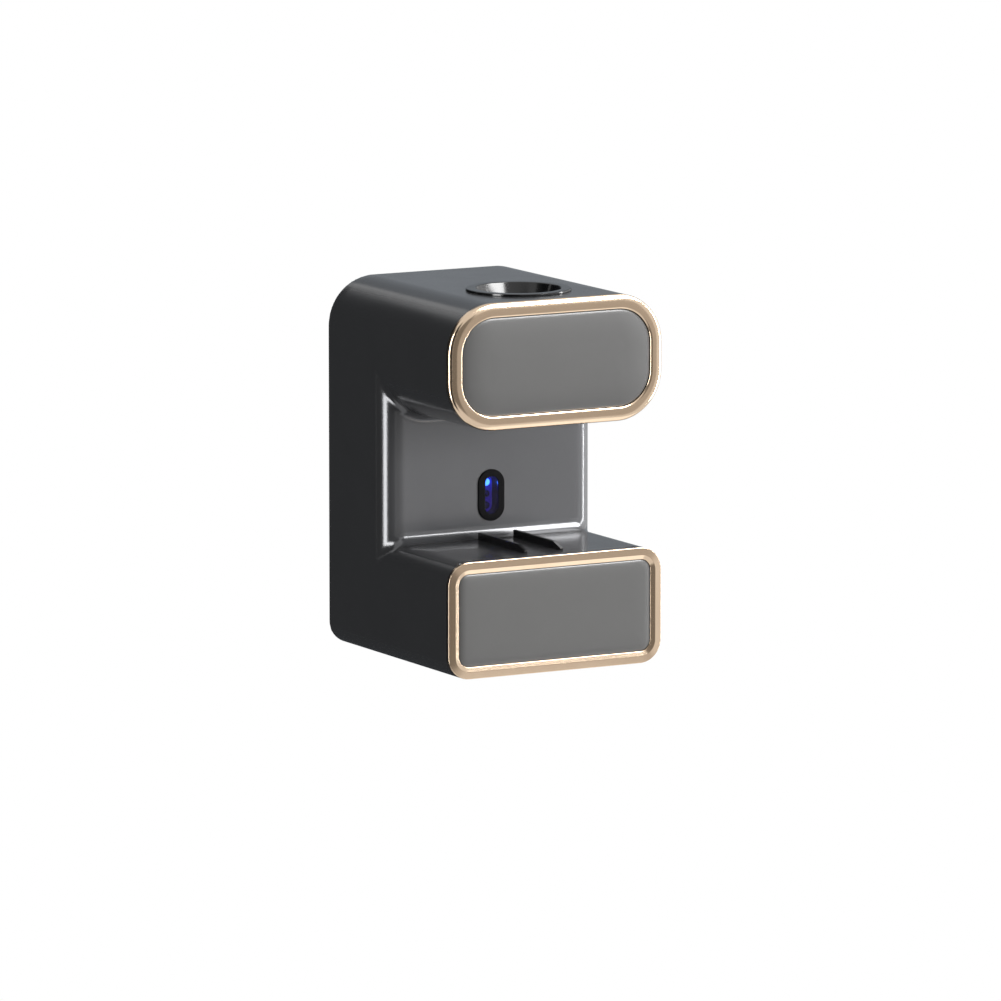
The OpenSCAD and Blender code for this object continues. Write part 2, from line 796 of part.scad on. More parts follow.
module main_shell() {
    color(shell_colour) difference() {
        union() {
            difference() {
                union() {
                    shell_outside();
                    recess_fillets();
                }
                column(wall, rear_gap - over);
                slab(inner_recess_d - over, front_d + over) arm_outline(wall);
                slab(recess_d, front_d + over) block_outline(wall);
                shell_openings();
            }
            shell_bosses();
            hinge_nose();
        }
        hinge_clearance();
    }
}

// Back of the housing, with the pocket that takes the wall plate
module rear_cover() {
    pocket_w = plate_w + 2 * pocket_side_gap;
    pocket_h = pocket_high_z - pocket_low_z;
    color(shell_colour) difference() {
        union() {
            slab(rear_gap, flange_inner_d) housing_outline(wall + fit_gap);
            slab(rear_gap, cover_inner_d) translate([0, (pocket_low_z + pocket_high_z) / 2])
                outline(pocket_w + 2 * pocket_wall, pocket_h + 2 * pocket_wall,
                    plate_corner_r, plate_corner_r);
            for (x = [-boss_x, boss_x], z = boss_zs) rod_y(x, z, cover_pad_r, rear_gap, boss_start_d);
            for (x = board_post_xs(), z = board_post_zs())
                rod_y(x, z, board_post_r, rear_gap + cover_t / 2, main_board_d);
        }
        slab(rear_gap - over, pocket_floor_d) translate([0, (pocket_low_z + pocket_high_z) / 2])
            outline(pocket_w, pocket_h, plate_corner_r, plate_corner_r);
        for (x = [-hook_x, hook_x], z = hook_zs)
            block_box(x, hook_w + 2 * hook_slot_gap, pocket_floor_d - over, cover_inner_d + over,
                z - lift - hook_slot_gap, z + hook_stem_h);
        for (x = [-boss_x, boss_x], z = boss_zs) {
            rod_y(x, z, cover_screw_r + run_gap, rear_gap - over, boss_start_d + over);
            rod_y(x, z, screw_head_r + run_gap, rear_gap - over, rear_gap + screw_sink + screw_head_t);
        }
        for (x = board_post_xs(), z = board_post_zs())
            rod_y(x, z, small_screw_r + tight_gap, main_board_d + board_t - small_screw_len - fit_gap,
                main_board_d + over);
    }
}

function board_post_xs() = [
    for (side = [-1, 1]) main_board_x + side * (main_board_w / 2 - board_post_inset)
];
function board_post_zs() = [
    for (side = [-1, 1]) main_board_mid_z + side * (main_board_h / 2 - board_post_inset)
];

module cover_screws() {
    color(steel_colour) for (x = [-boss_x, boss_x], z = boss_zs)
        translate([x, -rear_gap - screw_sink - screw_head_t, z]) rotate([-90, 0, 0])
            screw(cover_screw_r, cover_screw_len, screw_head_r, screw_head_t);
}

// Black frame of the sensor, with the window inside it
module sensor_bezel() {
    color(black_colour) difference() {
        union() {
            slab(recess_d, recess_d + bezel_t) translate([0, sensor_z]) obround(bezel_w, bezel_h);
            slab(sensor_board_d, recess_d) translate([0, sensor_z])
                obround(bezel_w - 2 * bezel_lip, bezel_h - 2 * bezel_lip);
        }
        slab(sensor_board_d - over, recess_d + bezel_t + over) translate([0, sensor_z])
            obround(window_w, window_h);
    }
}

module sensor_window() {
    color([0.16, 0.12, 0.45])
        slab(recess_d + bezel_t - window_sink - window_t, recess_d + bezel_t - window_sink)
            translate([0, sensor_z]) obround(window_w - 2 * pin_gap, window_h - 2 * pin_gap);
}

module sensor_board() {
    color(board_colour) difference() {
        block_box(0, sensor_board_w, sensor_board_d - board_t, sensor_board_d,
            sensor_z - sensor_board_h / 2, sensor_z + sensor_board_h / 2);
        for (side = [-1, 1])
            rod_y(0, sensor_z + side * sensor_post_rise, small_screw_r + fit_gap,
                sensor_board_d - board_t - over, sensor_board_d + over);
    }
}

// Lamp with a round dome, on the front of the sensor board
module board_lamp(z) {
    rod_y(0, z, led_r, sensor_board_d, sensor_board_d + led_len - led_r / 2);
    translate([0, led_r / 2 - sensor_board_d - led_len, z]) rotate([90, 0, 0])
        cylinder(h = led_r / 2, r1 = led_r, r2 = led_r / 2);
}

module status_led() {
    color([0.35, 0.70, 1.0]) board_lamp(sensor_z + led_step);
}

module ir_emitter() {
    color([0.10, 0.08, 0.16]) board_lamp(sensor_z);
}

module ir_receiver() {
    color([0.08, 0.06, 0.12]) board_lamp(sensor_z - led_step);
}

module sensor_screws() {
    color(steel_colour) for (side = [-1, 1])
        translate([0, board_t - sensor_board_d, sensor_z + side * sensor_post_rise]) rotate([-90, 0, 0])
            screw(small_screw_r, small_screw_len, small_head_r, small_head_t);
}

// Ring on top of the arm, on which the tube's shoulder stands
module tube_collar() {
    color(black_colour) at_pump() rotate_extrude() polygon([
        [collar_throat_r, collar_low_z], [collar_spigot_r, collar_low_z], [collar_spigot_r, top_z],
        [collar_r, top_z], [collar_r, top_z + collar_t], [collar_mouth_r, top_z + collar_t]
    ]);
}

// Silicone seat that grips the neck of the tube
module tube_seal() {
    bore_low_z = seal_low_z + seal_lip_t;
    color(silicone_colour) at_pump() rotate_extrude() polygon([
        [sleeve_bore_r, seal_low_z], [seal_r, seal_low_z],
        [seal_r, collar_low_z - seal_flange_t], [seal_flange_r, collar_low_z - seal_flange_t],
        [seal_flange_r, collar_low_z], [seal_mouth_r, collar_low_z],
        [neck_r, bore_low_z + neck_len], [neck_r, bore_low_z], [sleeve_bore_r, bore_low_z]
    ]);
}

// Carrier of the pump: base, two cups, spine, pusher guide and gear ears
module pump_frame() {
    color(inner_colour) difference() {
        union() {
            block_box(0, frame_base_w, frame_tail_d, frame_front_d, frame_base_z, frame_top_z);
            block_box(right_ear_x + ear_t - frame_tail_w / 2, frame_tail_w, frame_rear_d, frame_tail_d,
                frame_base_z, frame_top_z);
            at_pump() translate([0, 0, inner_floor_z + fit_gap])
                cylinder(h = lower_cup_top_z - inner_floor_z - fit_gap, r = cup_r);
            at_pump() translate([0, 0, upper_cup_low_z])
                cylinder(h = upper_cup_top_z - upper_cup_low_z, r = cup_r);
            block_box(0, spine_w, pump_d + sleeve_r + pusher_gap, pump_d + sleeve_r + pusher_gap + spine_t,
                frame_base_z, upper_cup_top_z);
            pusher_guide();
            gear_ears();
        }
        at_pump() translate([0, 0, inner_floor_z])
            cylinder(h = frame_top_z - inner_floor_z, r = valve_r + fit_gap);
        at_pump() translate([0, 0, valve_top_z - valve_flange_t])
            cylinder(h = lower_cup_top_z - valve_top_z + valve_flange_t + over,
                r = sleeve_flange_r + fit_gap);
        at_pump() translate([0, 0, upper_cup_low_z - over])
            cylinder(h = upper_cup_top_z - upper_cup_low_z + 2 * over, r = sleeve_r + fit_gap);
        at_pump() translate([0, 0, sleeve_top_z - sleeve_flange_t])
            cylinder(h = upper_cup_top_z - sleeve_top_z + sleeve_flange_t + over, r = seal_r + pin_gap);
        for (x = [-pump_boss_x, pump_boss_x], d = pump_boss_ds)
            translate([x, -d, frame_base_z - over])
                cylinder(h = frame_base_t + 2 * over, r = pump_screw_r + fit_gap);
        rod_x(gear_d, gear_z, axle_r + tight_gap, left_ear_x - over, right_ear_x + ear_t + over);
        rod_x(motor_d, motor_z, motor_shaft_r + 2 * run_gap, right_ear_x - over, right_ear_x + ear_t + over);
        for (side = [-1, 1])
            rod_x(motor_d + side * motor_screw_pitch / 2, motor_z, motor_screw_r + fit_gap,
                right_ear_x - over, right_ear_x + ear_t + over);
    }
}

// Two supports of the pusher: a channel in front, and a flat rest under the pinion
module pusher_guide() {
    difference() {
        block_box(0, rack_w + 2 * guide_cheek_t, guide_front_d - guide_len, guide_front_d,
            frame_base_z, rack_root_z - run_gap);
        block_box(0, rack_w + 2 * run_gap, guide_front_d - guide_len - over, guide_front_d + over,
            rack_low_z - fit_gap, rack_root_z + over);
    }
    block_box(0, rack_w, gear_d - pusher_gap, gear_d + guide_len, frame_base_z, rack_low_z - fit_gap);
}

// Ears of the gear axle, the right one also carries the motor
module gear_ears() {
    ear_top_z = motor_z + motor_h / 2 + motor_plate_margin;
    block_box(left_ear_x + ear_t / 2, ear_t, gear_d - ear_w / 2, gear_d + ear_w / 2,
        frame_base_z, gear_z + ear_w / 2);
    block_box(right_ear_x + ear_t / 2, ear_t, motor_d - motor_w / 2 - motor_plate_margin,
        gear_d + ear_w / 2, frame_base_z, ear_top_z);
}

module pump_screws() {
    color(steel_colour) for (x = [-pump_boss_x, pump_boss_x], d = pump_boss_ds)
        translate([x, -d, frame_top_z]) screw(pump_screw_r, pump_screw_len, pump_head_r, pump_head_t);
}

// Silicone sleeve between the seal and the valve
module pump_sleeve() {
    color(silicone_colour) at_pump() rotate_extrude() polygon([
        [sleeve_bore_r, sleeve_low_z], [sleeve_flange_r, sleeve_low_z],
        [sleeve_flange_r, sleeve_low_z + sleeve_flange_t], [sleeve_r, sleeve_low_z + sleeve_flange_t],
        [sleeve_r, sleeve_top_z - sleeve_flange_t], [sleeve_flange_r, sleeve_top_z - sleeve_flange_t],
        [sleeve_flange_r, sleeve_top_z], [sleeve_bore_r, sleeve_top_z]
    ]);
}

// Duckbill valve, with a slit across its tip
module outlet_valve() {
    color(silicone_colour) at_pump() difference() {
        rotate_extrude() polygon([
            [0, valve_tip_z], [valve_tip_r, valve_tip_z], [valve_r, valve_straight_z],
            [valve_r, valve_top_z - valve_flange_t], [sleeve_flange_r, valve_top_z - valve_flange_t],
            [sleeve_flange_r, valve_top_z], [sleeve_bore_r, valve_top_z],
            [valve_r - valve_wall, valve_straight_z], [valve_tip_r - valve_wall, valve_tip_z + valve_wall],
            [0, valve_tip_z + valve_wall]
        ]);
        translate([-valve_slit_len / 2, -valve_slit_w / 2, valve_tip_z - over])
            cube([valve_slit_len, valve_slit_w, valve_wall + 2 * over]);
    }
}

module nozzle_ring() {
    color(black_colour) at_pump() rotate_extrude() polygon([
        [nozzle_bore_r, arm_z - nozzle_t], [nozzle_r, arm_z - nozzle_t], [nozzle_r, arm_z],
        [nozzle_spigot_r, arm_z], [nozzle_spigot_r, inner_floor_z], [nozzle_bore_r, inner_floor_z]
    ]);
}

// Small motor with its gearbox, bored for the output shaft
module gear_motor() {
    color(steel_colour) difference() {
        union() {
            block_box(motor_x + gearbox_len / 2, gearbox_len, motor_d - motor_w / 2, motor_d + motor_w / 2,
                motor_z - motor_h / 2, motor_z + motor_h / 2);
            intersection() {
                rod_x(motor_d, motor_z, motor_w / 2, motor_x + gearbox_len, motor_x + gearbox_len + can_len);
                block_box(motor_x + gearbox_len + can_len / 2, can_len, motor_d - motor_w / 2,
                    motor_d + motor_w / 2, motor_z - motor_h / 2, motor_z + motor_h / 2);
            }
            rod_x(motor_d, motor_z, end_cap_r, motor_x + gearbox_len + can_len,
                motor_x + gearbox_len + can_len + end_cap_len);
        }
        rod_x(motor_d, motor_z, motor_shaft_r + pin_gap,
            motor_x - over, motor_x + motor_shaft_depth + fit_gap);
        for (side = [-1, 1])
            rod_x(motor_d + side * motor_screw_pitch / 2, motor_z, motor_screw_r + tight_gap,
                motor_x - over, motor_x + motor_screw_len - ear_t + fit_gap);
    }
}

module motor_screws() {
    color(steel_colour) for (side = [-1, 1])
        translate([right_ear_x, -motor_d - side * motor_screw_pitch / 2, motor_z]) rotate([0, -90, 0])
            screw(motor_screw_r, motor_screw_len, motor_screw_head_r, motor_screw_head_t);
}

module gear_axle() {
    color(steel_colour) rod_x(gear_d, gear_z, axle_r, left_ear_x, right_ear_x + ear_t - run_gap);
}

module motor_shaft() {
    color(steel_colour)
        rod_x(motor_d, motor_z, motor_shaft_r, motor_shaft_start_x, motor_x + motor_shaft_depth);
}

// Brass pinion of the motor, turned so that a gap faces the wheel's tooth
module drive_pinion() {
    low_x = wheel_x - (motor_pinion_w - wheel_w) / 2;
    color(brass_colour) difference() {
        bar_x(low_x, low_x + motor_pinion_w) translate([-motor_d, motor_z])
            rotate(motor_angle + 180 + 180 / motor_teeth)
                gear_outline(motor_module, motor_teeth, pinion_addendum_share);
        rod_x(motor_d, motor_z, motor_shaft_r + tight_gap, low_x - over, low_x + motor_pinion_w + over);
    }
}

// Wheel and rack pinion in one piece, turning on the axle
module reduction_gear() {
    color(acetal_colour) difference() {
        union() {
            bar_x(wheel_x, wheel_x + wheel_w) translate([-gear_d, gear_z])
                rotate(motor_angle) gear_outline(motor_module, wheel_teeth, wheel_addendum_share);
            bar_x(-pinion_w / 2, pinion_w / 2) translate([-gear_d, gear_z])
                rotate(-90 + 180 / pinion_teeth)
                    gear_outline(rack_module, pinion_teeth, pinion_addendum_share);
            rod_x(gear_d, gear_z, hub_r, hub_low_x, hub_high_x);
        }
        rod_x(gear_d, gear_z, axle_r + pin_gap, hub_low_x - over, hub_high_x + over);
    }
}

// Rack with a rounded nose that squeezes the sleeve
module pusher() {
    color(acetal_colour) {
        rod_x(pusher_nose_d, pusher_mid_z, pusher_nose_r, -pusher_head_w / 2, pusher_head_w / 2);
        block_box(0, pusher_head_w, pusher_nose_d - pusher_head_t, pusher_nose_d,
            pusher_mid_z - pusher_head_h / 2, pusher_mid_z + pusher_head_h / 2);
        block_box(0, rack_w, rack_rear_d, pusher_nose_d - pusher_head_t / 2, rack_low_z, rack_root_z);
        for (k = [-1:rack_teeth - 2])
            bar_x(-rack_w / 2, rack_w / 2)
                translate([-gear_d + k * PI * rack_module, rack_pitch_z]) rack_tooth(rack_module);
    }
}

module battery_cell() {
    color([0.25, 0.45, 0.70]) translate([cell_x, -cell_d, cell_low_z]) cylinder(h = cell_len, r = cell_r);
}

// Trough on the rear cover that holds the cell
module battery_cradle() {
    outer_w = cell_dia + 2 * cell_gap + 2 * cradle_wall;
    inner_len = cell_len + 2 * (contact_t + cell_gap);
    color(inner_colour) difference() {
        block_box(cell_x, outer_w, cover_inner_d, cell_d,
            cradle_low_z, cradle_low_z + inner_len + 2 * cradle_wall);
        translate([cell_x, -cell_d, cradle_low_z + cradle_wall])
            cylinder(h = inner_len, r = cell_r + cell_gap);
    }
}

module battery_contacts() {
    color(steel_colour) for (z = [cradle_low_z + cradle_wall, cell_low_z + cell_len + cell_gap])
        block_box(cell_x, contact_w, cell_d - contact_w / 2, cell_d + contact_w / 2, z, z + contact_t);
}

// Control board on the rear cover, with its larger components
module main_board() {
    color(board_colour) difference() {
        union() {
            block_box(main_board_x, main_board_w, main_board_d, main_board_d + board_t,
                main_board_low_z, main_board_low_z + main_board_h);
            block_box(main_board_x - chip_w, chip_w, main_board_d, main_board_d + 2 * board_t,
                main_board_mid_z - chip_w / 2, main_board_mid_z + chip_w / 2);
            block_box(main_board_x + 2 * coil_w, coil_w, main_board_d, main_board_d + 3 * board_t,
                main_board_mid_z + coil_h, main_board_mid_z + 2 * coil_h);
        }
        for (x = board_post_xs(), z = board_post_zs())
            rod_y(x, z, small_screw_r + fit_gap, main_board_d - over, main_board_d + board_t + over);
    }
}

module board_screws() {
    color(steel_colour) for (x = board_post_xs(), z = board_post_zs())
        translate([x, -main_board_d - board_t, z]) rotate([90, 0, 0])
            screw(small_screw_r, small_screw_len, small_head_r, small_head_t);
}

// Charging socket, open downward
module usb_socket() {
    color(steel_colour) translate([usb_x, -port_d, bottom_z + usb_sink]) {
        difference() {
            linear_extrude(usb_len) rotate(90) obround(usb_h, usb_w);
            translate([0, 0, -over]) linear_extrude(usb_len - usb_wall + over)
                rotate(90) obround(usb_h - 2 * usb_wall, usb_w - 2 * usb_wall);
        }
        translate([-usb_tongue_w / 2, -usb_tongue_t / 2, usb_tongue_sink])
            cube([usb_tongue_w, usb_tongue_t, usb_len - usb_tongue_sink]);
    }
}

module button_switch() {
    color(black_colour) {
        block_box(button_x, switch_w, main_board_d + board_t, main_board_d + board_t + switch_t,
            switch_low_z, switch_low_z + switch_h);
        translate([button_x, -port_d, switch_low_z - switch_plunger_len])
            cylinder(h = switch_plunger_len + switch_h / 2, r = switch_plunger_r);
    }
}

module power_button() {
    color(gold_colour) translate([button_x, -port_d, bottom_z - button_out]) {
        cylinder(h = wall + button_out + fit_gap + button_flange_t, r = button_r);
        translate([0, 0, wall + button_out + fit_gap]) cylinder(h = button_flange_t, r = button_flange_r);
    }
}

// Ultraviolet lamps behind an opening of the chamber's rear wall
module uv_board() {
    color(board_colour) block_box(0, uv_board_w, inner_recess_d - board_t, inner_recess_d,
        uv_z - uv_board_h / 2, uv_z + uv_board_h / 2);
}

module uv_leds() {
    color([0.75, 0.65, 0.95]) for (k = [-1:1])
        block_box(k * uv_led_pitch, uv_led_w, inner_recess_d, inner_recess_d + uv_led_t,
            uv_z - uv_led_w / 2, uv_z + uv_led_w / 2);
}

module uv_window() {
    color([0.85, 0.88, 0.95]) block_box(0, uv_open_w + 2 * uv_window_margin, recess_d, recess_d + uv_window_t,
        uv_z - uv_open_h / 2 - uv_window_margin, uv_z + uv_open_h / 2 + uv_window_margin);
}

// Flat cable with a plug at each end, running straight from front to back
module ribbon(x, z, d_rear, d_front) {
    block_box(x, ribbon_w, d_rear, d_front, z - ribbon_t / 2, z + ribbon_t / 2);
    for (d = [d_rear, d_front - plug_t])
        block_box(x, plug_w, d, d + plug_t, z - plug_h / 2, z + plug_h / 2);
}

module sensor_ribbon() {
    color(acetal_colour)
        ribbon(sensor_ribbon_x, sensor_ribbon_z, main_board_d + board_t, sensor_board_d - board_t);
}

module uv_ribbon() {
    color(acetal_colour) ribbon(uv_ribbon_x, uv_z, main_board_d + board_t, inner_recess_d - board_t);
}

// Two wires from the motor's end down to the board
module motor_leads() {
    end_x = motor_x + gearbox_len + can_len;
    down_x = end_x + motor_lead_out;
    land_x = board_right_x - motor_lead_inset;
    land_z = main_board_low_z + main_board_h - motor_lead_drop;
    color([0.75, 0.15, 0.12]) for (side = [-1, 1])
        wire([
            [end_x, side * motor_lead_side - motor_d, motor_z],
            [down_x, side * motor_lead_side - motor_d, motor_z],
            [down_x, side * motor_lead_side - motor_d, land_z + side * wire_pitch],
            [land_x, side * motor_lead_side - motor_d, land_z + side * wire_pitch],
            [land_x, -main_board_d - board_t, land_z + side * wire_pitch]
        ]);
}

// Two wires from the cell's contacts to the board
module battery_leads() {
    land_x = board_left_x + battery_lead_inset;
    color([0.15, 0.15, 0.16])
        for (z = [cell_low_z + battery_lead_rise, cell_low_z + cell_len - battery_lead_drop])
            wire([
                [cell_x + cell_r + 2 * cell_gap + cradle_wall, -cell_d + cradle_wall, z],
                [land_x, -cell_d + cradle_wall, z],
                [land_x, -main_board_d - board_t, z]
            ]);
}

// Two ribs that keep a brush head under the outlet
module brush_guides() {
    rear_d = recess_d + floor_fillet_r + rib_rear_gap;
    tip_d = front_d - rib_front_gap;
    color(black_colour) for (x = [-rib_pitch / 2, rib_pitch / 2]) {
        bar_x(x - rib_t / 2, x + rib_t / 2) polygon([
            [-rear_d, block_z], [-rear_d, block_z + rib_h], [rib_slope_len - tip_d, block_z + rib_h],
            [-tip_d, block_z + rib_nose_h], [-tip_d, block_z]
        ]);
        for (d = rib_peg_ds()) translate([x, -d, block_z - rib_peg_len])
            cylinder(h = rib_peg_len + rib_h / 2, r = rib_peg_r);
    }
}

// Comb on the chamber's floor, with three slots for the brush necks
module brush_rack() {
    comb_w = body_w - 2 * block_r - 2 * comb_margin;
    comb_front_d = ring_back_d - door_frame_t - mouth_gap;
    color(black_colour) difference() {
        block_box(0, comb_w, comb_rear_d, comb_front_d, inner_bottom_z, inner_bottom_z + rack_t);
        for (x = [-brush_pitch, 0, brush_pitch]) {
            block_box(x, neck_slot_w, neck_d, comb_front_d + over,
                inner_bottom_z - over, inner_bottom_z + rack_t + over);
            translate([x, -neck_d, inner_bottom_z - over])
                cylinder(h = rack_t + 2 * over, r = neck_slot_w / 2);
        }
    }
}

module hinge_pins() {
    color(steel_colour) for (side = [-1, 1])
        rod_x(hinge_d, hinge_z, hinge_pin_r, side * knuckle_x - hinge_pin_len / 2 + fit_gap,
            side * knuckle_x + hinge_pin_len / 2 - fit_gap);
}

module shell_magnets() {
    color(steel_colour) for (side = [-1, 1])
        rod_y(side * magnet_x, magnet_z, magnet_r, magnet_rear_d(), magnet_rear_d() + magnet_t);
}

// Inner frame of the arm's cover: a plate and the spigot that plugs into the arm's mouth
module cover_frame() {
    color(shell_colour) difference() {
        slab(ring_back_d - cover_spigot_len, ring_back_d) arm_outline(wall + run_gap);
        slab(ring_back_d - cover_spigot_len - over, ring_back_d - cover_plate_t)
            arm_outline(wall + run_gap + cover_spigot_wall);
    }
}

// Crested trim ring of the arm
module upper_trim_ring() {
    color(gold_colour) translate([0, -ring_back_d, arm_mid_z]) rotate([90, 0, 0])
        swept_ring(body_w, arm_h, arm_r, arm_ring_w) intersection() {
            square([arm_ring_w, arm_ring_d]);
            translate([arm_ring_w / 2, arm_ring_d - crest_r]) circle(crest_r);
        }
}

// Pillowed panel inside the arm's ring
module upper_panel() {
    inset = arm_ring_w + panel_gap;
    color(panel_colour) {
        slab(ring_back_d, ring_back_d + arm_panel_d - panel_edge_d) arm_outline(inset);
        slab(ring_back_d, ring_back_d + arm_panel_d) arm_outline(inset + panel_edge_w);
    }
}

// Inner frame of the door, with the knuckles of the hinge and the pads of the magnets
module door_frame() {
    color(shell_colour) difference() {
        union() {
            difference() {
                slab(ring_back_d - door_frame_t, ring_back_d) block_outline(wall + mouth_gap);
                rod_x(hinge_d, hinge_z, hinge_r + seam, -body_w / 2, body_w / 2);
            }
            for (side = [-1, 1]) {
                rod_x(hinge_d, hinge_z, hinge_r, side * knuckle_x - knuckle_w / 2,
                    side * knuckle_x + knuckle_w / 2);
                block_box(side * knuckle_x, knuckle_w, hinge_d, ring_back_d,
                    hinge_z - hinge_r, hinge_z + knuckle_arm_rise);
                block_box(side * knuckle_x, knuckle_w, ring_back_d - door_frame_t, ring_back_d,
                    hinge_z - knuckle_arm_drop, hinge_z);
                rod_y(side * magnet_x, magnet_z, door_pad_r, ring_back_d - door_pad_t, ring_back_d);
            }
        }
        for (side = [-1, 1]) {
            rod_x(hinge_d, hinge_z, hinge_pin_r + pin_gap, side * knuckle_x - knuckle_w,
                side * knuckle_x + knuckle_w);
            rod_y(side * magnet_x, magnet_z, magnet_r + tight_gap, ring_back_d - door_pad_t - over,
                ring_back_d - door_pad_t + magnet_t);
        }
    }
}

// Bevelled trim ring of the door
module lower_trim_ring() {
    color(gold_colour) translate([0, -ring_back_d, block_mid_z]) rotate([90, 0, 0])
        swept_ring(body_w, block_h, block_r, block_ring_w) polygon([
            [0, 0], [block_ring_w, 0], [block_ring_w, block_ring_d * bevel_side_share],
            [block_ring_w * bevel_crest_share, block_ring_d], [0, block_ring_d * bevel_inner_share]
        ]);
}

// Panel inside the door's ring
module lower_panel() {
    inset = block_ring_w + panel_gap;
    color(panel_colour) {
        slab(ring_back_d, ring_back_d + block_panel_d - panel_edge_d) block_outline(inset);
        slab(ring_back_d, ring_back_d + block_panel_d) block_outline(inset + panel_edge_w);
    }
}

module door_magnets() {
    color(steel_colour) for (side = [-1, 1])
        rod_y(side * magnet_x, magnet_z, magnet_r, ring_back_d - door_pad_t,
            ring_back_d - door_pad_t + magnet_t);
}

wall_plate();
adhesive_pad();
main_shell();
rear_cover();
cover_screws();
sensor_bezel();
sensor_window();
sensor_board();
status_led();
ir_emitter();
ir_receiver();
sensor_screws();
tube_collar();
tube_seal();
pump_frame();
pump_screws();
pump_sleeve();
outlet_valve();
nozzle_ring();
gear_motor();
motor_screws();
gear_axle();
motor_shaft();
drive_pinion();
reduction_gear();
pusher();
battery_cell();
battery_cradle();
battery_contacts();
main_board();
board_screws();
usb_socket();
button_switch();
power_button();
uv_board();
uv_leds();
uv_window();
sensor_ribbon();
uv_ribbon();
motor_leads();
battery_leads();
brush_guides();
brush_rack();
hinge_pins();
shell_magnets();
cover_frame();
upper_trim_ring();
upper_panel();
door_frame();
lower_trim_ring();
lower_panel();
door_magnets();
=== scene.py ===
"""Looks of a wall-mounted toothpaste dispenser with a brush holder.

X runs to the right, the front faces -Y and Z runs up. Depths are counted from the wall, so a
depth d lies at y = -d. Lengths are in metres, and mm is one millimetre.
"""
import math

import bmesh
import bpy
import numpy as np
from mathutils import Matrix, Vector


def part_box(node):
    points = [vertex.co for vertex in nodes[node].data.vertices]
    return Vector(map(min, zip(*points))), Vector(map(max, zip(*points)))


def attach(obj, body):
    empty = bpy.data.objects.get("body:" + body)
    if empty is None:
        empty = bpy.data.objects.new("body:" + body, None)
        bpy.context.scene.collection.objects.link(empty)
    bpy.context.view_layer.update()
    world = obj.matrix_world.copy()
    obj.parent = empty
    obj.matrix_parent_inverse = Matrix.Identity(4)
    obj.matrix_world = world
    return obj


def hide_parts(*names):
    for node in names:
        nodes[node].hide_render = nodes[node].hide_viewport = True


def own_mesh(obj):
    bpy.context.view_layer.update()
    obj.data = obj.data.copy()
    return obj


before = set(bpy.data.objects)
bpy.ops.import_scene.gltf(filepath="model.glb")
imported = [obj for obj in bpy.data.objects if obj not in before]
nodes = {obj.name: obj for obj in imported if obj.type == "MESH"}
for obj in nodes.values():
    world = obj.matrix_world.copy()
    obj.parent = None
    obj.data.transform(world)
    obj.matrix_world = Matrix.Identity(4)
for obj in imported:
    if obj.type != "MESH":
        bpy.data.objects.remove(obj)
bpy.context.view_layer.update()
mm = 0.001


# Wall plate.
# A moulded grey plate with four upward hooks that the housing hangs on. A foam pad glues it to
# the wall, or two screws hold it there. Its solid stays and gets a matt moulded finish.
def shader_group(name, inputs, outputs):
    group = bpy.data.node_groups.new(name, "ShaderNodeTree")
    for label, value in inputs.items():
        socket = group.interface.new_socket(name=label, in_out="INPUT", socket_type="NodeSocketFloat")
        socket.default_value = value
    for label in outputs:
        group.interface.new_socket(name=label, in_out="OUTPUT", socket_type="NodeSocketFloat")
    start = group.nodes.new("NodeGroupInput")
    end = group.nodes.new("NodeGroupOutput")
    return group, start, end


def maths(tree, operation, first, second):
    step = tree.nodes.new("ShaderNodeMath")
    step.operation = operation
    for socket, value in zip(step.inputs, (first, second)):
        if isinstance(value, (int, float)):
            socket.default_value = value
        else:
            tree.links.new(value, socket)
    return step.outputs[0]


# Grain is fine noise of the mould's texture, Patch is slow change over some centimetres.
def make_grain_group():
    group, start, end = shader_group(
        "mould_grain", {"Grain size": 0.4 * mm, "Patch size": 30 * mm}, ["Grain", "Patch"])
    place = group.nodes.new("ShaderNodeTexCoord")
    for label, output, detail in (("Grain size", "Grain", 2.0), ("Patch size", "Patch", 4.0)):
        noise = group.nodes.new("ShaderNodeTexNoise")
        noise.inputs["Detail"].default_value = detail
        group.links.new(place.outputs["Object"], noise.inputs["Vector"])
        group.links.new(maths(group, "DIVIDE", 1.0, start.outputs[label]), noise.inputs["Scale"])
        group.links.new(noise.outputs["Fac"], end.inputs[output])
    return group


# Edge is bright where the surface turns sharply within the radius, broken up by noise.
def make_edge_group():
    group, start, end = shader_group("worn_edge", {"Radius": 0.4 * mm, "Gain": 3.0}, ["Edge"])
    soft = group.nodes.new("ShaderNodeBevel")
    soft.samples = 4
    group.links.new(start.outputs["Radius"], soft.inputs["Radius"])
    sharp = group.nodes.new("ShaderNodeNewGeometry")
    dot = group.nodes.new("ShaderNodeVectorMath")
    dot.operation = "DOT_PRODUCT"
    group.links.new(soft.outputs["Normal"], dot.inputs[0])
    group.links.new(sharp.outputs["Normal"], dot.inputs[1])
    turned = maths(group, "SUBTRACT", 1.0, dot.outputs["Value"])
    place = group.nodes.new("ShaderNodeTexCoord")
    noise = group.nodes.new("ShaderNodeTexNoise")
    noise.inputs["Scale"].default_value = 260.0
    noise.inputs["Detail"].default_value = 3.0
    group.links.new(place.outputs["Object"], noise.inputs["Vector"])
    broken = maths(group, "MULTIPLY", turned, noise.outputs["Fac"])
    gained = group.nodes.new("ShaderNodeMath")
    gained.operation = "MULTIPLY"
    gained.use_clamp = True
    group.links.new(broken, gained.inputs[0])
    group.links.new(start.outputs["Gain"], gained.inputs[1])
    group.links.new(gained.outputs[0], end.inputs["Edge"])
    return group


grain_group = make_grain_group()
edge_group = make_edge_group()
edge_reach = 0.4 * mm


def linear(colour):
    return tuple((c / 12.92 if c <= 0.04045 else ((c + 0.055) / 1.055) ** 2.4) for c in colour) + (1.0,)


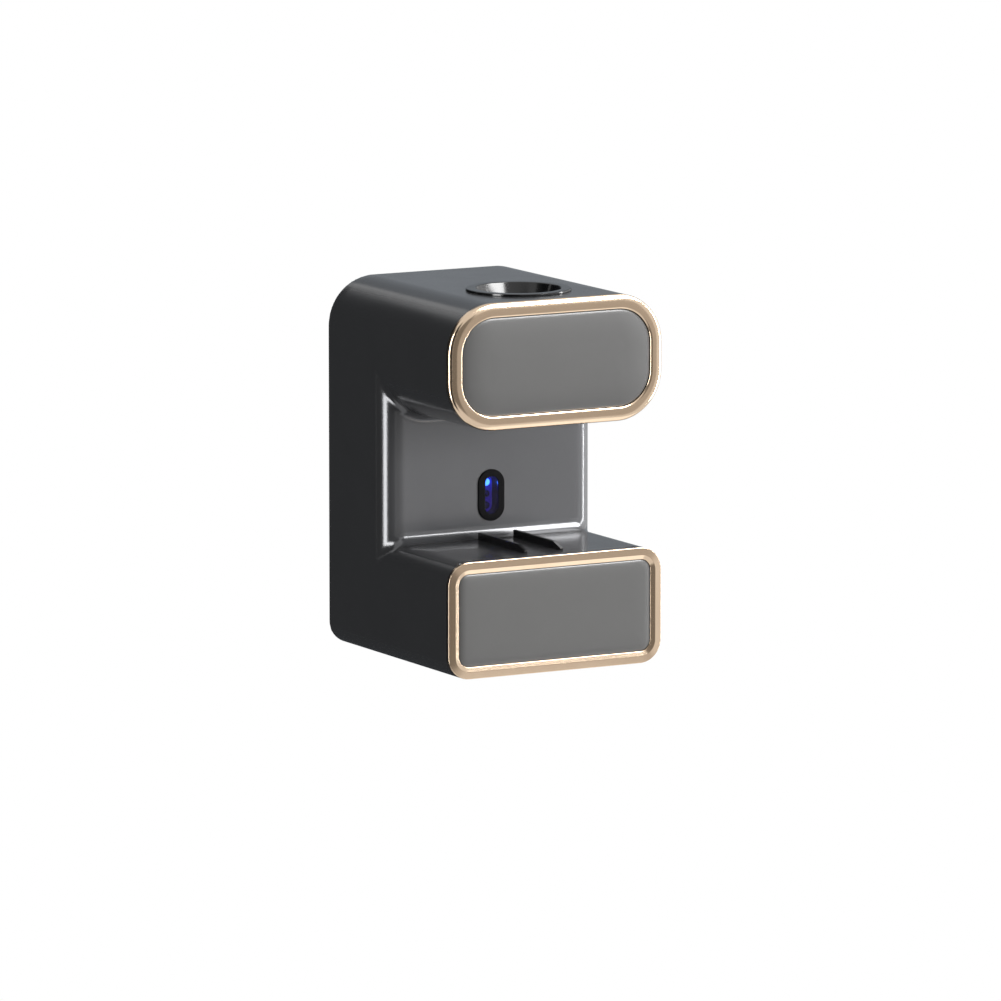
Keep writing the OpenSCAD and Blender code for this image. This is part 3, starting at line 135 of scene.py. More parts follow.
def place_group(tree, group, **values):
    used = tree.nodes.new("ShaderNodeGroup")
    used.node_tree = group
    for label, value in values.items():
        used.inputs[label.replace("_", " ")].default_value = value
    return used


def mixed(tree, share, first, second):
    mix = tree.nodes.new("ShaderNodeMix")
    mix.data_type = "RGBA"
    tree.links.new(share, mix.inputs["Factor"])
    for socket, value in ((mix.inputs[6], first), (mix.inputs[7], second)):
        if isinstance(value, tuple):
            socket.default_value = value
        else:
            tree.links.new(value, socket)
    return mix.outputs[2]


def spread(tree, value, low, high):
    ramp = tree.nodes.new("ShaderNodeMapRange")
    ramp.inputs["From Min"].default_value = 0.3
    ramp.inputs["From Max"].default_value = 0.7
    ramp.inputs["To Min"].default_value = low
    ramp.inputs["To Max"].default_value = high
    tree.links.new(value, ramp.inputs["Value"])
    return ramp.outputs["Result"]


# Colours are sRGB from 0 to 1: base and its slow variation, and the tone of worn edges. Grain and
# patch are sizes in millimetres, and rough gives the lowest and highest roughness.
def finish(name, base, other, edge, rough, grain=0.35, patch=25, bump=0.15, gain=3.0, **sockets):
    material = bpy.data.materials.new(name)
    material.use_nodes = True
    tree = material.node_tree
    shader = tree.nodes["Principled BSDF"]
    grains = place_group(tree, grain_group, Grain_size=grain * mm, Patch_size=patch * mm)
    edges = place_group(tree, edge_group, Radius=edge_reach, Gain=gain)
    share = spread(tree, grains.outputs["Patch"], 0.0, 1.0)
    colour = mixed(tree, share, linear(base), linear(other))
    tree.links.new(mixed(tree, edges.outputs["Edge"], colour, linear(edge)), shader.inputs["Base Color"])
    tree.links.new(spread(tree, grains.outputs["Patch"], rough[0], rough[1]), shader.inputs["Roughness"])
    relief = tree.nodes.new("ShaderNodeBump")
    relief.inputs["Strength"].default_value = bump
    relief.inputs["Distance"].default_value = 0.02 * mm
    tree.links.new(grains.outputs["Grain"], relief.inputs["Height"])
    tree.links.new(relief.outputs["Normal"], shader.inputs["Normal"])
    for label, value in sockets.items():
        shader.inputs[label.replace("_", " ")].default_value = value
    return material


def dress(material, *names):
    for name in names:
        nodes[name].data.materials.clear()
        nodes[name].data.materials.append(material)


moulded_grey = finish(
    "moulded_grey", (0.34, 0.35, 0.37), (0.31, 0.32, 0.34), (0.46, 0.47, 0.49), (0.42, 0.55), bump=0.35)
dress(moulded_grey, "wall_plate")


# Foam pad between the wall plate and the wall.
# Black closed-cell foam tape with soft, slightly bulging edges and two holes for the wall screws.
# It is glued to the plate's back.
def mesh_piece(name, points, faces):
    mesh = bpy.data.meshes.new(name)
    mesh.from_pydata([tuple(p) for p in points], [], faces)
    mesh.validate()
    piece = bpy.data.objects.new(name, mesh)
    bpy.context.scene.collection.objects.link(piece)
    return piece


# Points of a rounded outline in X and Z, as many at every inset
def rounded_outline(half, low, high, r_top, r_low, inset=0.0, steps=16):
    points = []
    for quarter, (side, r) in enumerate(((1, r_top), (-1, r_top), (-1, r_low), (1, r_low))):
        kept = max(r - inset, 0.02 * mm)
        x = side * (half - inset - kept)
        z = high - inset - kept if quarter < 2 else low + inset + kept
        for step in range(steps + 1):
            angle = math.radians(90 * (quarter + step / steps))
            points.append((x + kept * math.cos(angle), z + kept * math.sin(angle)))
    return points


# Skin through closed loops of equal length, with its ends closed flat or joined to each other
def loft_points(loops, joined=False):
    count = len(loops[0])
    points = [p for loop in loops for p in loop]
    faces = []
    for a in range(len(loops) - (0 if joined else 1)):
        b = (a + 1) % len(loops)
        for i in range(count):
            j = (i + 1) % count
            faces.append([a * count + i, a * count + j, b * count + j, b * count + i])
    if not joined:
        last = (len(loops) - 1) * count
        faces += [list(range(count))[::-1], [last + i for i in range(count)]]
    return points, faces


def circle(r, steps):
    return [(r * math.cos(math.tau * k / steps), r * math.sin(math.tau * k / steps)) for k in range(steps)]


# Round rod along one axis, through a centre on the other two
def rod_points(axis, centre, r, start, end, steps=48):
    loops = []
    for t in (start, end):
        loop = []
        for a, b in circle(r, steps):
            u = centre[0] + a
            v = centre[1] + b
            loop.append({"x": (t, u, v), "y": (u, t, v), "z": (u, v, t)}[axis])
        loops.append(loop)
    return loft_points(loops)


# Welds closed skins into one mesh whose faces look outward
def solid_piece(name, solids):
    points = []
    faces = []
    for some_points, some_faces in solids:
        faces += [[i + len(points) for i in face] for face in some_faces]
        points += list(some_points)
    piece = mesh_piece(name, points, faces)
    work = bmesh.new()
    work.from_mesh(piece.data)
    bmesh.ops.remove_doubles(work, verts=work.verts, dist=1e-7)
    bmesh.ops.recalc_face_normals(work, faces=work.faces)
    work.to_mesh(piece.data)
    work.free()
    return piece


# Solids given in one call don't touch each other
def carve(piece, solids, operation="DIFFERENCE"):
    tool = solid_piece("tool", solids)
    cut = piece.modifiers.new("cut", "BOOLEAN")
    cut.operation = operation
    cut.solver = "EXACT"
    cut.object = tool
    bpy.context.view_layer.update()
    done = piece.evaluated_get(bpy.context.evaluated_depsgraph_get())
    mesh = bpy.data.meshes.new_from_object(done)
    piece.modifiers.clear()
    piece.data = mesh
    bpy.data.objects.remove(tool)


def smooth(piece, angle=30):
    piece.data.polygons.foreach_set("use_smooth", [True] * len(piece.data.polygons))
    piece.data.set_sharp_from_angle(angle=math.radians(angle))
    weighted = piece.modifiers.new("flat_faces_stay_flat", "WEIGHTED_NORMAL")
    weighted.keep_sharp = True
    return piece


# Gives a piece its material and its body, and hides the nodes that it stands for
def settle(piece, material, body, slot, *replaced):
    piece.data.materials.clear()
    piece.data.materials.append(material)
    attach(piece, body)
    if replaced:
        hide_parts(*replaced)


pad_low, pad_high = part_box("adhesive_pad")
pad_corner_r = 8 * mm
wall_screw_z = 36 * mm
wall_screw_r = 2.25 * mm
pad_bulge = ((0.0, 0.25), (0.12, 0.06), (0.35, 0.0), (0.65, 0.0), (0.88, 0.06), (1.0, 0.25))
pad_loops = []
for share, inset in pad_bulge:
    y = pad_high.y + (pad_low.y - pad_high.y) * share
    outline = rounded_outline(pad_high.x, pad_low.z, pad_high.z, pad_corner_r, pad_corner_r, inset * mm)
    pad_loops.append([(x, y, z) for x, z in outline])
foam_pad = solid_piece("foam_pad", [loft_points(pad_loops)])
carve(foam_pad, [rod_points("y", (0, side * wall_screw_z), wall_screw_r, -3 * mm, 2 * mm)
                 for side in (-1, 1)])
foam_tape = finish(
    "foam_tape", (0.07, 0.07, 0.08), (0.10, 0.10, 0.11), (0.16, 0.16, 0.17), (0.85, 0.95),
    grain=0.9, bump=0.9)
settle(smooth(foam_pad), foam_tape, "wall_mount", "foam", "adhesive_pad")


# Housing shell.
# One moulding of satin dark grey plastic with a faint metallic pigment: column, arm and block.
# Its outside is one smooth form, hollow corners and all. Four screws hold it to the rear cover.
wall = 2.2 * mm
recess_d = 50 * mm
arm_r = 20 * mm
block_r = 9.3 * mm
edge_r = 9 * mm
floor_fillet_r = 4.8 * mm
roof_fillet_r = 4.3 * mm
over = 1 * mm
shell_low, shell_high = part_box("main_shell")
half_w = shell_high.x
top_z = shell_high.z
bottom_z = shell_low.z
rear_d = -shell_high.y
front_d = -shell_low.y
arm_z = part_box("upper_trim_ring")[0].z
block_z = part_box("lower_trim_ring")[1].z
inner_recess_d = recess_d - wall
pump_y = -72.6 * mm


def outline_gap(x, z, low, high, r_top, r_low):
    middle = (low + high) / 2
    r = np.where(z > middle, r_top, r_low)
    across = np.abs(x) - (half_w - r)
    along = np.abs(z - middle) - ((high - low) / 2 - r)
    outside = np.hypot(np.maximum(across, 0), np.maximum(along, 0))
    return outside + np.minimum(np.maximum(across, along), 0) - r


def column_gap(x, y, z):
    side = outline_gap(x, z, bottom_z, top_z, arm_r, block_r) + edge_r
    front = -y - recess_d + edge_r
    round_part = np.hypot(np.maximum(side, 0), np.maximum(front, 0))
    return round_part + np.minimum(np.maximum(side, front), 0) - edge_r


def arm_gap(x, y, z):
    return outline_gap(x, z, arm_z, top_z, arm_r, arm_r) + 0 * y


def block_gap(x, y, z):
    return outline_gap(x, z, bottom_z, block_z, block_r, block_r) + 0 * y


def slope(form, x, y, z, step=0.02 * mm):
    parts = [form(x + step, y, z) - form(x - step, y, z),
             form(x, y + step, z) - form(x, y - step, z),
             form(x, y, z + step) - form(x, y, z - step)]
    size = np.sqrt(sum(p * p for p in parts)) + 1e-12
    return [p / size for p in parts]


# Hollow round between the column and a limb: full where they meet square, none where flush
def filleted(limb_gap, radius, x, y, z):
    first = column_gap(x, y, z)
    second = limb_gap(x, y, z)
    flush = sum(a * b for a, b in zip(slope(column_gap, x, y, z), slope(limb_gap, x, y, z)))
    r = radius * (1 - np.clip(flush, 0, 1))
    corner = np.hypot(np.maximum(r - first, 0), np.maximum(r - second, 0))
    return np.maximum(r, np.minimum(first, second)) - corner


def shell_gap(x, y, z):
    joined = np.minimum(filleted(arm_gap, roof_fillet_r, x, y, z),
                        filleted(block_gap, floor_fillet_r, x, y, z))
    joined = np.maximum(joined, outline_gap(x, z, bottom_z, top_z, arm_r, block_r))
    return np.maximum(joined, np.maximum(-y - front_d - 4 * mm, y + rear_d - 4 * mm))


# Levels of a grid that lie close in the given spans and far apart between them
def levels(start, stop, far, spans):
    places = [start]
    while places[-1] < stop:
        step = far
        for low, high, near in spans:
            if low - near < places[-1] < high:
                step = min(step, near)
            elif places[-1] < low < places[-1] + step:
                step = low - places[-1]
        places.append(places[-1] + step)
    return np.array(places)


# Quad mesh of a form's surface: one vertex in each cell of the grid that the surface crosses
def skin_of(form, xs, ys, zs):
    axes = (xs, ys, zs)
    grid = form(*np.meshgrid(xs, ys, zs, indexing="ij"))
    inside = grid < 0
    corners = [inside[i:len(xs) - 1 + i, j:len(ys) - 1 + j, k:len(zs) - 1 + k]
               for i in (0, 1) for j in (0, 1) for k in (0, 1)]
    count = sum(c.astype(int) for c in corners)
    cells = np.argwhere((count > 0) & (count < 8))
    index = -np.ones([len(axis) - 1 for axis in axes], int)
    index[tuple(cells.T)] = np.arange(len(cells))
    total = np.zeros((len(cells), 3))
    hits = np.zeros(len(cells))
    for axis in range(3):
        others = [a for a in range(3) if a != axis]
        for first in (0, 1):
            for second in (0, 1):
                start = cells.copy()
                start[:, others[0]] += first
                start[:, others[1]] += second
                end = start.copy()
                end[:, axis] += 1
                a = grid[tuple(start.T)]
                b = grid[tuple(end.T)]
                crossed = (a < 0) != (b < 0)
                share = np.where(crossed, a / np.where(crossed, a - b, 1), 0)
                point = np.stack([axes[n][start[:, n]] for n in range(3)], 1)
                point[:, axis] += share * (axes[axis][end[:, axis]] - axes[axis][start[:, axis]])
                total[crossed] += point[crossed]
                hits[crossed] += 1
    points = total / hits[:, None]
    low = np.stack([axes[n][cells[:, n]] for n in range(3)], 1)
    high = np.stack([axes[n][cells[:, n] + 1] for n in range(3)], 1)
    for _ in range(4):
        normal = np.stack(slope(form, *points.T), 1)
        points = np.clip(points - form(*points.T)[:, None] * normal, low, high)
    faces = []
    for axis in range(3):
        a, b = [n for n in range(3) if n != axis]
        lower = tuple(slice(0, -1) if n == axis else slice(None) for n in range(3))
        upper = tuple(slice(1, None) if n == axis else slice(None) for n in range(3))
        change = inside[lower].astype(int) - inside[upper].astype(int)
        for edge in np.argwhere(change != 0):
            quad = []
            for da, db in ((-1, -1), (0, -1), (0, 0), (-1, 0)):
                cell = edge.copy()
                cell[a] += da
                cell[b] += db
                quad.append(int(index[tuple(cell)]))
            outward = (change[tuple(edge)] > 0) != (axis == 1)
            faces.append(quad if outward else quad[::-1])
    return points, faces


# Cuts the form's ends flat at two depths and closes them
def trim_ends(piece, rear, front):
    work = bmesh.new()
    work.from_mesh(piece.data)
    for depth, way in ((rear, 1), (front, -1)):
        everything = work.verts[:] + work.edges[:] + work.faces[:]
        bmesh.ops.bisect_plane(work, geom=everything, plane_co=(0, -depth, 0), plane_no=(0, way, 0),
                               clear_outer=True, dist=1e-7)
        bmesh.ops.holes_fill(work, edges=[e for e in work.edges if e.is_boundary], sides=0)
    bmesh.ops.recalc_face_normals(work, faces=work.faces)
    work.to_mesh(piece.data)
    work.free()


def housing_outline(inset=0.0):
    return rounded_outline(half_w, bottom_z, top_z, arm_r, block_r, inset)


def arm_outline(inset=0.0, steps=16):
    return rounded_outline(half_w, arm_z, top_z, arm_r, arm_r, inset, steps)


def block_outline(inset=0.0, steps=16):
    return rounded_outline(half_w, bottom_z, block_z, block_r, block_r, inset, steps)


# Upright or lying slot: a rectangle whose ends are half circles
def obround(x, z, w, h, steps=12):
    r = min(w, h) / 2
    outline = rounded_outline(w / 2, z - h / 2, z + h / 2, r, r, 0.0, steps)
    return [(x + a, b) for a, b in outline]


def slab_points(outline, rear, front):
    return loft_points([[(x, -depth, z) for x, z in outline] for depth in (rear, front)])


def box_points(x_low, x_high, rear, front, z_low, z_high):
    corners = [(x_high, z_high), (x_low, z_high), (x_low, z_low), (x_high, z_low)]
    return slab_points(corners, rear, front)


corner_x = half_w - arm_r
shell_xs = levels(-half_w - 1.3 * mm, half_w + 1.3 * mm, 5 * mm, [
    (-half_w - 2 * mm, -corner_x, 0.8 * mm), (corner_x, half_w + 2 * mm, 0.8 * mm)])
shell_ys = -levels(rear_d - 7 * mm, front_d + 7 * mm, 9 * mm, [
    (recess_d - edge_r - 1 * mm, recess_d + 6 * mm, 0.6 * mm)])[::-1]
shell_zs = levels(bottom_z - 1.3 * mm, top_z + 1.3 * mm, 5 * mm, [
    (bottom_z - 2 * mm, bottom_z + block_r, 0.8 * mm),
    (block_z - block_r, block_z - 0.5 * mm, 0.8 * mm),
    (block_z - 0.5 * mm, block_z + floor_fillet_r, 0.5 * mm),
    (arm_z - roof_fillet_r, arm_z + 0.5 * mm, 0.5 * mm),
    (arm_z + 0.5 * mm, arm_z + arm_r, 0.8 * mm),
    (top_z - arm_r, top_z + 2 * mm, 0.8 * mm)])
housing_shell = mesh_piece("housing_shell", *skin_of(shell_gap, shell_xs, shell_ys, shell_zs))
trim_ends(housing_shell, rear_d, front_d)


# The column's cavity narrows towards the recess wall, as the rounded edges do outside
cavity_r = edge_r - wall
cavity_loops = []
for depth in [rear_d - over] + [inner_recess_d - cavity_r * (1 - step / 8) for step in range(9)]:
    narrower = max(depth - inner_recess_d + cavity_r, 0)
    kept_w = half_w - wall - cavity_r + math.sqrt(max(cavity_r ** 2 - narrower ** 2, 0))
    cavity_loops.append([(max(-kept_w, min(kept_w, x)), -depth, z) for x, z in housing_outline(wall)])
carve(housing_shell, [loft_points(cavity_loops)])
carve(housing_shell, [
    slab_points(arm_outline(wall), recess_d - edge_r, front_d + over),
    slab_points(block_outline(wall), recess_d, front_d + over)])

# Openings for the collar, the outlet, the sensor, the violet lamp, the neck slots and the ports
collar_hole_r = 18.9 * mm
outlet_hole_r = 9.4 * mm
sensor_z = block_z + 16.9 * mm
lamp_z = bottom_z + 25 * mm
lamp_half_w = 30 * mm
lamp_half_h = 5.5 * mm
slot_xs = (-28.8 * mm, 0.0, 28.8 * mm)
slot_half = 4.5 * mm
slot_d = 86.5 * mm
port_d = 14.3 * mm
button_x = 25 * mm
button_hole_r = 3.8 * mm
socket_x = 14 * mm
carve(housing_shell, [
    rod_points("z", (0, pump_y), collar_hole_r, top_z - wall - over, top_z + over, 96),
    rod_points("z", (0, pump_y), outlet_hole_r, arm_z - over, arm_z + wall + over, 64),
    slab_points(obround(0, sensor_z, 10.5 * mm, 19.7 * mm), inner_recess_d - over, recess_d + over),
    box_points(-lamp_half_w, lamp_half_w, inner_recess_d - over, recess_d + over,
               lamp_z - lamp_half_h, lamp_z + lamp_half_h),
    rod_points("z", (button_x, -port_d), button_hole_r, bottom_z - over, bottom_z + wall + over)])


# Opening in the floor that runs out to the front and ends in a half circle
def floor_slot(x, steps=16):
    loop = [(x - slot_half, -front_d - over), (x + slot_half, -front_d - over)]
    for step in range(steps + 1):
        angle = math.pi * step / steps
        loop.append((x + slot_half * math.cos(angle), -slot_d + slot_half * math.sin(angle)))
    return loft_points([[(a, b, z) for a, b in loop] for z in (bottom_z - over, bottom_z + wall + over)])


carve(housing_shell, [floor_slot(x) for x in slot_xs])
port = [(a, -port_d + b) for a, b in obround(socket_x, 0, 9.6 * mm, 3.8 * mm)]
carve(housing_shell, [loft_points([[(a, b, z) for a, b in port]
                                   for z in (bottom_z - over, bottom_z + wall + over)])])

# Bosses for the screws and the magnets, and the nose with the notches of the door's hinge
hinge_d = 99.6 * mm
hinge_z = block_z - 1.3 * mm
nose_half = 42.5 * mm
knuckle_x = 36 * mm
knuckle_w = 4.4 * mm
cover_boss_x = 41.8 * mm
frame_boss_x = 18 * mm
magnet_boss_x = 43.2 * mm
magnet_z = bottom_z + wall + 7.5 * mm
magnet_x = half_w - 7.5 * mm
bosses = []
for side in (-1, 1):
    for z in (bottom_z + wall + 10 * mm, top_z - arm_r - 8 * mm):
        bosses.append(rod_points("y", (side * cover_boss_x, z), 4.2 * mm, -6 * mm, -24.01 * mm))
    bosses.append(rod_points("y", (0, sensor_z + side * 14 * mm), 2.4 * mm, -45 * mm, -recess_d + wall / 2))
    for depth in (58.0 * mm, 87.8 * mm):
        bosses.append(rod_points("z", (side * frame_boss_x, -depth), 3 * mm,
                                 arm_z + wall / 2, arm_z + 5.2 * mm))
    bosses.append(box_points(side * magnet_boss_x - 3.5 * mm, side * magnet_boss_x + 3.5 * mm,
                             93.3 * mm, 98.3 * mm, magnet_z - 3.2 * mm, magnet_z + 3.2 * mm))
carve(housing_shell, bosses, "UNION")
carve(housing_shell, [box_points(-nose_half, nose_half, hinge_d, front_d + over,
                                 block_z - 3.2 * mm, block_z + over)])
carve(housing_shell, [rod_points("x", (-hinge_d, hinge_z), 1.29 * mm, -40 * mm, 40 * mm)], "UNION")
notches = []
for side in (-1, 1):
    low_x = side * knuckle_x - knuckle_w / 2
    notches.append(box_points(low_x, low_x + knuckle_w, hinge_d - 1.6 * mm, front_d + over,
                              hinge_z - 1.6 * mm, block_z + over))
    notches.append(rod_points("y", (side * magnet_x, magnet_z), 2.02 * mm, -96.3 * mm, -99.3 * mm))
carve(housing_shell, notches)
smooth(housing_shell)
satin_shell = finish(
    "satin_shell", (0.352, 0.354, 0.362), (0.340, 0.342, 0.350), (0.42, 0.42, 0.43), (0.16, 0.21),
    grain=0.25, bump=0.05, gain=1.0, Metallic=0.42)
settle(housing_shell, satin_shell, "housing", "shell_plastic", "main_shell")


# Rear cover, inner frames of the two covers, and the parts that fix them.
# The covers are moulded in the shell's plastic. Screws, hinge pins and magnets are bright steel,
# turned and plated, with fine marks round their axis from the tool.
dress(satin_shell, "rear_cover", "cover_frame", "door_frame")
bright_steel = finish(
    "bright_steel", (0.72, 0.73, 0.75), (0.64, 0.65, 0.67), (0.86, 0.87, 0.88), (0.22, 0.38),
    grain=0.12, patch=4, bump=0.25, Metallic=1.0)
dress(bright_steel, "cover_screws", "hinge_pins", "shell_magnets", "door_magnets", "sensor_screws",
      "pump_screws", "motor_screws", "board_screws", "gear_axle", "motor_shaft", "battery_contacts",
      "usb_socket")


# Trim rings of the two covers.
# Die-cast rings in polished champagne gold, glued on the covers' inner frames. The arm's ring
# rises in one round sweep towards its panel, and the block's ring has two bevels.
ring_back_d = front_d + 0.3 * mm


# Section of a ring with its corners rounded, from corners and radii in millimetres
def rounded_section(corners, radii, steps=5):
    points = []
    count = len(corners)
    for k in range(count):
        here = Vector(corners[k])
        before = (Vector(corners[k - 1]) - here).normalized()
        after = (Vector(corners[(k + 1) % count]) - here).normalized()
        half_angle = before.angle(after) / 2
        reach = radii[k] / math.tan(half_angle)
        first = here + before * reach
        last = here + after * reach
        for step in range(steps + 1):
            t = step / steps
            points.append(tuple((1 - t) ** 2 * first + 2 * t * (1 - t) * here + t * t * last))
    return [(a * mm, b * mm) for a, b in points]


def ring_piece(name, outline, section):
    loops = []
    for inset, rise in section:
        loops.append([(x, -ring_back_d - rise, z) for x, z in outline(inset, 24)])
    return smooth(solid_piece(name, [loft_points(loops, joined=True)]), 35)


arm_ring_w = 5.7
flank_h = 1.2
sweep_w = 4.2
sweep_h = 2.0
crest = [(0.0, 0.0)]
for step in range(25):
    angle = math.radians(90 * step / 24)
    crest.append((sweep_w * (1 - math.cos(angle)), flank_h + sweep_h * math.sin(angle)))
crest += [(4.7, 3.17), (5.15, 3.07), (5.45, 2.92), (5.62, 2.75), (arm_ring_w, 2.5), (arm_ring_w, 0.0)]
crest_section = [(a * mm, b * mm) for a, b in crest]
upper_ring = ring_piece("upper_trim_crest", arm_outline, crest_section)
bevel_corners = [(0, 0), (0, 1.7), (2.9, 2.2), (4.7, 1.5), (4.7, 0)]
bevel_section = rounded_section(bevel_corners, (0.05, 0.3, 0.35, 0.2, 0.05))
lower_ring = ring_piece("lower_trim_bevel", block_outline, bevel_section)
champagne_trim = finish(
    "champagne_trim", (0.845, 0.755, 0.655), (0.825, 0.735, 0.635), (0.93, 0.86, 0.79), (0.13, 0.18),
    grain=0.15, patch=18, bump=0.05, gain=1.5, Metallic=1.0)
settle(upper_ring, champagne_trim, "arm_cover", "trim_metal", "upper_trim_ring")
settle(lower_ring, champagne_trim, "door", "trim_metal", "lower_trim_ring")
dress(champagne_trim, "power_button")


# Front panels of the two covers.
# Moulded plates in satin mid grey, pressed into the rings. Their edges roll off softly and their
# faces rise a little towards the middle.
crown_h = 0.08 * mm
crown_w = 5 * mm


def panel_piece(name, outline, inset, rise, roll_w, roll_d):
    loops = [outline(inset), outline(inset)]
    depths = [ring_back_d, ring_back_d + rise - roll_d]
    for step in range(1, 13):
        angle = math.radians(90 * step / 12)
        loops.append(outline(inset + roll_w * (1 - math.cos(angle))))
        depths.append(ring_back_d + rise - roll_d * (1 - math.sin(angle)) - crown_h)
    for step in range(1, 9):
        loops.append(outline(inset + roll_w + crown_w * step / 8))
        depths.append(ring_back_d + rise - crown_h * (1 - step / 8) ** 2)
    rings = [[(x, -d, z) for x, z in loop] for loop, d in zip(loops, depths)]
    return smooth(solid_piece(name, [loft_points(rings)]), 50)


upper_face = panel_piece(
    "upper_panel_pillow", arm_outline, (arm_ring_w + 0.1) * mm, 3.6 * mm, 12.0 * mm, 1.5 * mm)
lower_face = panel_piece("lower_panel_pillow", block_outline, 4.85 * mm, 1.95 * mm, 3.6 * mm, 0.9 * mm)
satin_panel = finish(
    "satin_panel", (0.350, 0.349, 0.348), (0.340, 0.339, 0.338), (0.44, 0.44, 0.44), (0.30, 0.35),
    grain=0.22, bump=0.08, gain=0.8, Metallic=0.35)
settle(upper_face, satin_panel, "arm_cover", "panel_plastic", "upper_panel")
settle(lower_face, satin_panel, "door", "panel_plastic", "lower_panel")


# Sensor in the recess wall.
# A gloss black bezel snapped into the wall, with a sunk window of blue-violet tinted glass. Behind
# it one blue lamp and two dark infrared lenses sit on a small board, whose glow is painted light.
lens_gap = 4.7 * mm
bezel_loops = []
for inset, depth in ((0.7, 45), (0.7, 50), (0, 50), (0, 50.5), (0.09, 50.71), (0.3, 50.8), (2.6, 50.8),
                     (2.82, 50.72), (2.9, 50.5), (2.9, 45)):
    outline = obround(0, sensor_z, (11.7 - 2 * inset) * mm, (20.9 - 2 * inset) * mm, 20)
    bezel_loops.append([(x, -depth * mm, z) for x, z in outline])
bezel = smooth(solid_piece("sensor_bezel_ring", [loft_points(bezel_loops, joined=True)]), 40)
gloss_black = finish(
    "gloss_black", (0.055, 0.055, 0.06), (0.045, 0.045, 0.05), (0.22, 0.22, 0.23), (0.12, 0.20),
    grain=0.2, patch=9, bump=0.03, gain=2.0)
bezel_black = finish(
    "bezel_black", (0.055, 0.055, 0.06), (0.045, 0.045, 0.05), (0.16, 0.16, 0.17), (0.14, 0.22),
    grain=0.2, patch=9, bump=0.03, gain=2.0, Specular_IOR_Level=0.12)
settle(bezel, bezel_black, "housing", "black_plastic", "sensor_bezel")

window_loops = []
for inset, depth in ((0, 50.0), (0, 50.45), (0.05, 50.56), (0.2, 50.6)):
    outline = obround(0, sensor_z, (5.76 - 2 * inset) * mm, (15.46 - 2 * inset) * mm, 20)
    window_loops.append([(x, -depth * mm, z) for x, z in outline])
window = smooth(solid_piece("sensor_window_pane", [loft_points(window_loops)]), 40)
tinted_glass = finish(
    "tinted_glass", (0.62, 0.58, 0.98), (0.58, 0.54, 0.97), (0.75, 0.72, 1.0), (0.03, 0.07),
    grain=0.5, patch=6, bump=0.01, Transmission_Weight=1.0, IOR=1.3)
settle(window, tinted_glass, "housing", "window_tint", "sensor_window")


def lens_piece(name, z):
    loops = []
    for r, depth in ((1.5, 45.0), (1.5, 45.75), (1.44, 46.1), (1.22, 46.45), (0.85, 46.68), (0.4, 46.78)):
        loops.append([(a, -depth * mm, z + b) for a, b in circle(r * mm, 32)])
    return smooth(solid_piece(name, [loft_points(loops)]), 60)


blue_glow = finish(
    "blue_glow", (0.45, 0.75, 1.0), (0.40, 0.70, 1.0), (0.6, 0.85, 1.0), (0.15, 0.25),
    grain=0.2, patch=2, bump=0.02, Emission_Strength=5.0)
blue_glow_shader = blue_glow.node_tree.nodes["Principled BSDF"]
blue_glow_shader.inputs["Emission Color"].default_value = linear((0.35, 0.72, 1.0))
dark_lens = finish(
    "dark_lens", (0.06, 0.04, 0.10), (0.08, 0.05, 0.14), (0.2, 0.16, 0.3), (0.06, 0.12),
    grain=0.2, patch=2, bump=0.02)

# Backing round the lamp and the lenses, with a painted glow: it gives off light of its own,
# violet away from the lamp and blue at the lamp's height, falling off above and below it.
glow_group, glow_start, glow_end = shader_group(
    "lamp_glow", {"Lamp height": 0.0, "Reach": 5 * mm}, ["Glow"])
glow_place = glow_group.nodes.new("ShaderNodeTexCoord")
glow_parts = glow_group.nodes.new("ShaderNodeSeparateXYZ")
glow_group.links.new(glow_place.outputs["Object"], glow_parts.inputs[0])
fall = maths(glow_group, "SUBTRACT", glow_parts.outputs["Z"], glow_start.outputs["Lamp height"])
fall = maths(glow_group, "ABSOLUTE", fall, 0.0)
fall = maths(glow_group, "DIVIDE", fall, glow_start.outputs["Reach"])
fall = maths(glow_group, "SUBTRACT", 1.0, maths(glow_group, "MINIMUM", fall, 1.0))
glow_group.links.new(maths(glow_group, "POWER", fall, 2.0), glow_end.inputs["Glow"])
# Painted glow: an emission on the backing stands in for the lamps' light.
painted_glow_backing = finish(
    "painted_glow_backing", (0.10, 0.09, 0.16), (0.08, 0.07, 0.13), (0.2, 0.18, 0.3), (0.4, 0.6),
    grain=0.3, patch=3, bump=0.2, Emission_Strength=0.62)
backing_tree = painted_glow_backing.node_tree
backing_glow = place_group(backing_tree, glow_group, Lamp_height=sensor_z + lens_gap, Reach=6 * mm)
backing_tone = mixed(
    backing_tree, backing_glow.outputs["Glow"], linear((0.27, 0.20, 0.50)), linear((0.16, 0.34, 0.95)))
backing_tree.links.new(backing_tone, backing_tree.nodes["Principled BSDF"].inputs["Emission Color"])
backing_outline = obround(0, sensor_z, 5.7 * mm, 14.9 * mm, 20)
backing = smooth(solid_piece("sensor_backing", [slab_points(backing_outline, 45.03 * mm, 45.3 * mm)]), 40)
settle(backing, painted_glow_backing, "housing", "board")
settle(lens_piece("status_lens", sensor_z + lens_gap), blue_glow, "housing", "blue_lamp", "status_led")
settle(lens_piece("emitter_lens", sensor_z), dark_lens, "housing", "dark_lamp", "ir_emitter")
settle(lens_piece("receiver_lens", sensor_z - lens_gap), dark_lens, "housing", "dark_lamp", "ir_receiver")


# Socket, pump sleeve and outlet.
# A gloss black collar and a soft silicone seat are pressed into the top of the arm. Under them
# the pusher squeezes a silicone sleeve towards its front, and the duckbill below lets go.
def turned_piece(name, profile):
    loops = []
    for r, z in profile:
        loops.append([(a, pump_y + b, z * mm) for a, b in circle(r * mm, 96)])
    return smooth(solid_piece(name, [loft_points(loops, joined=True)]), 35)


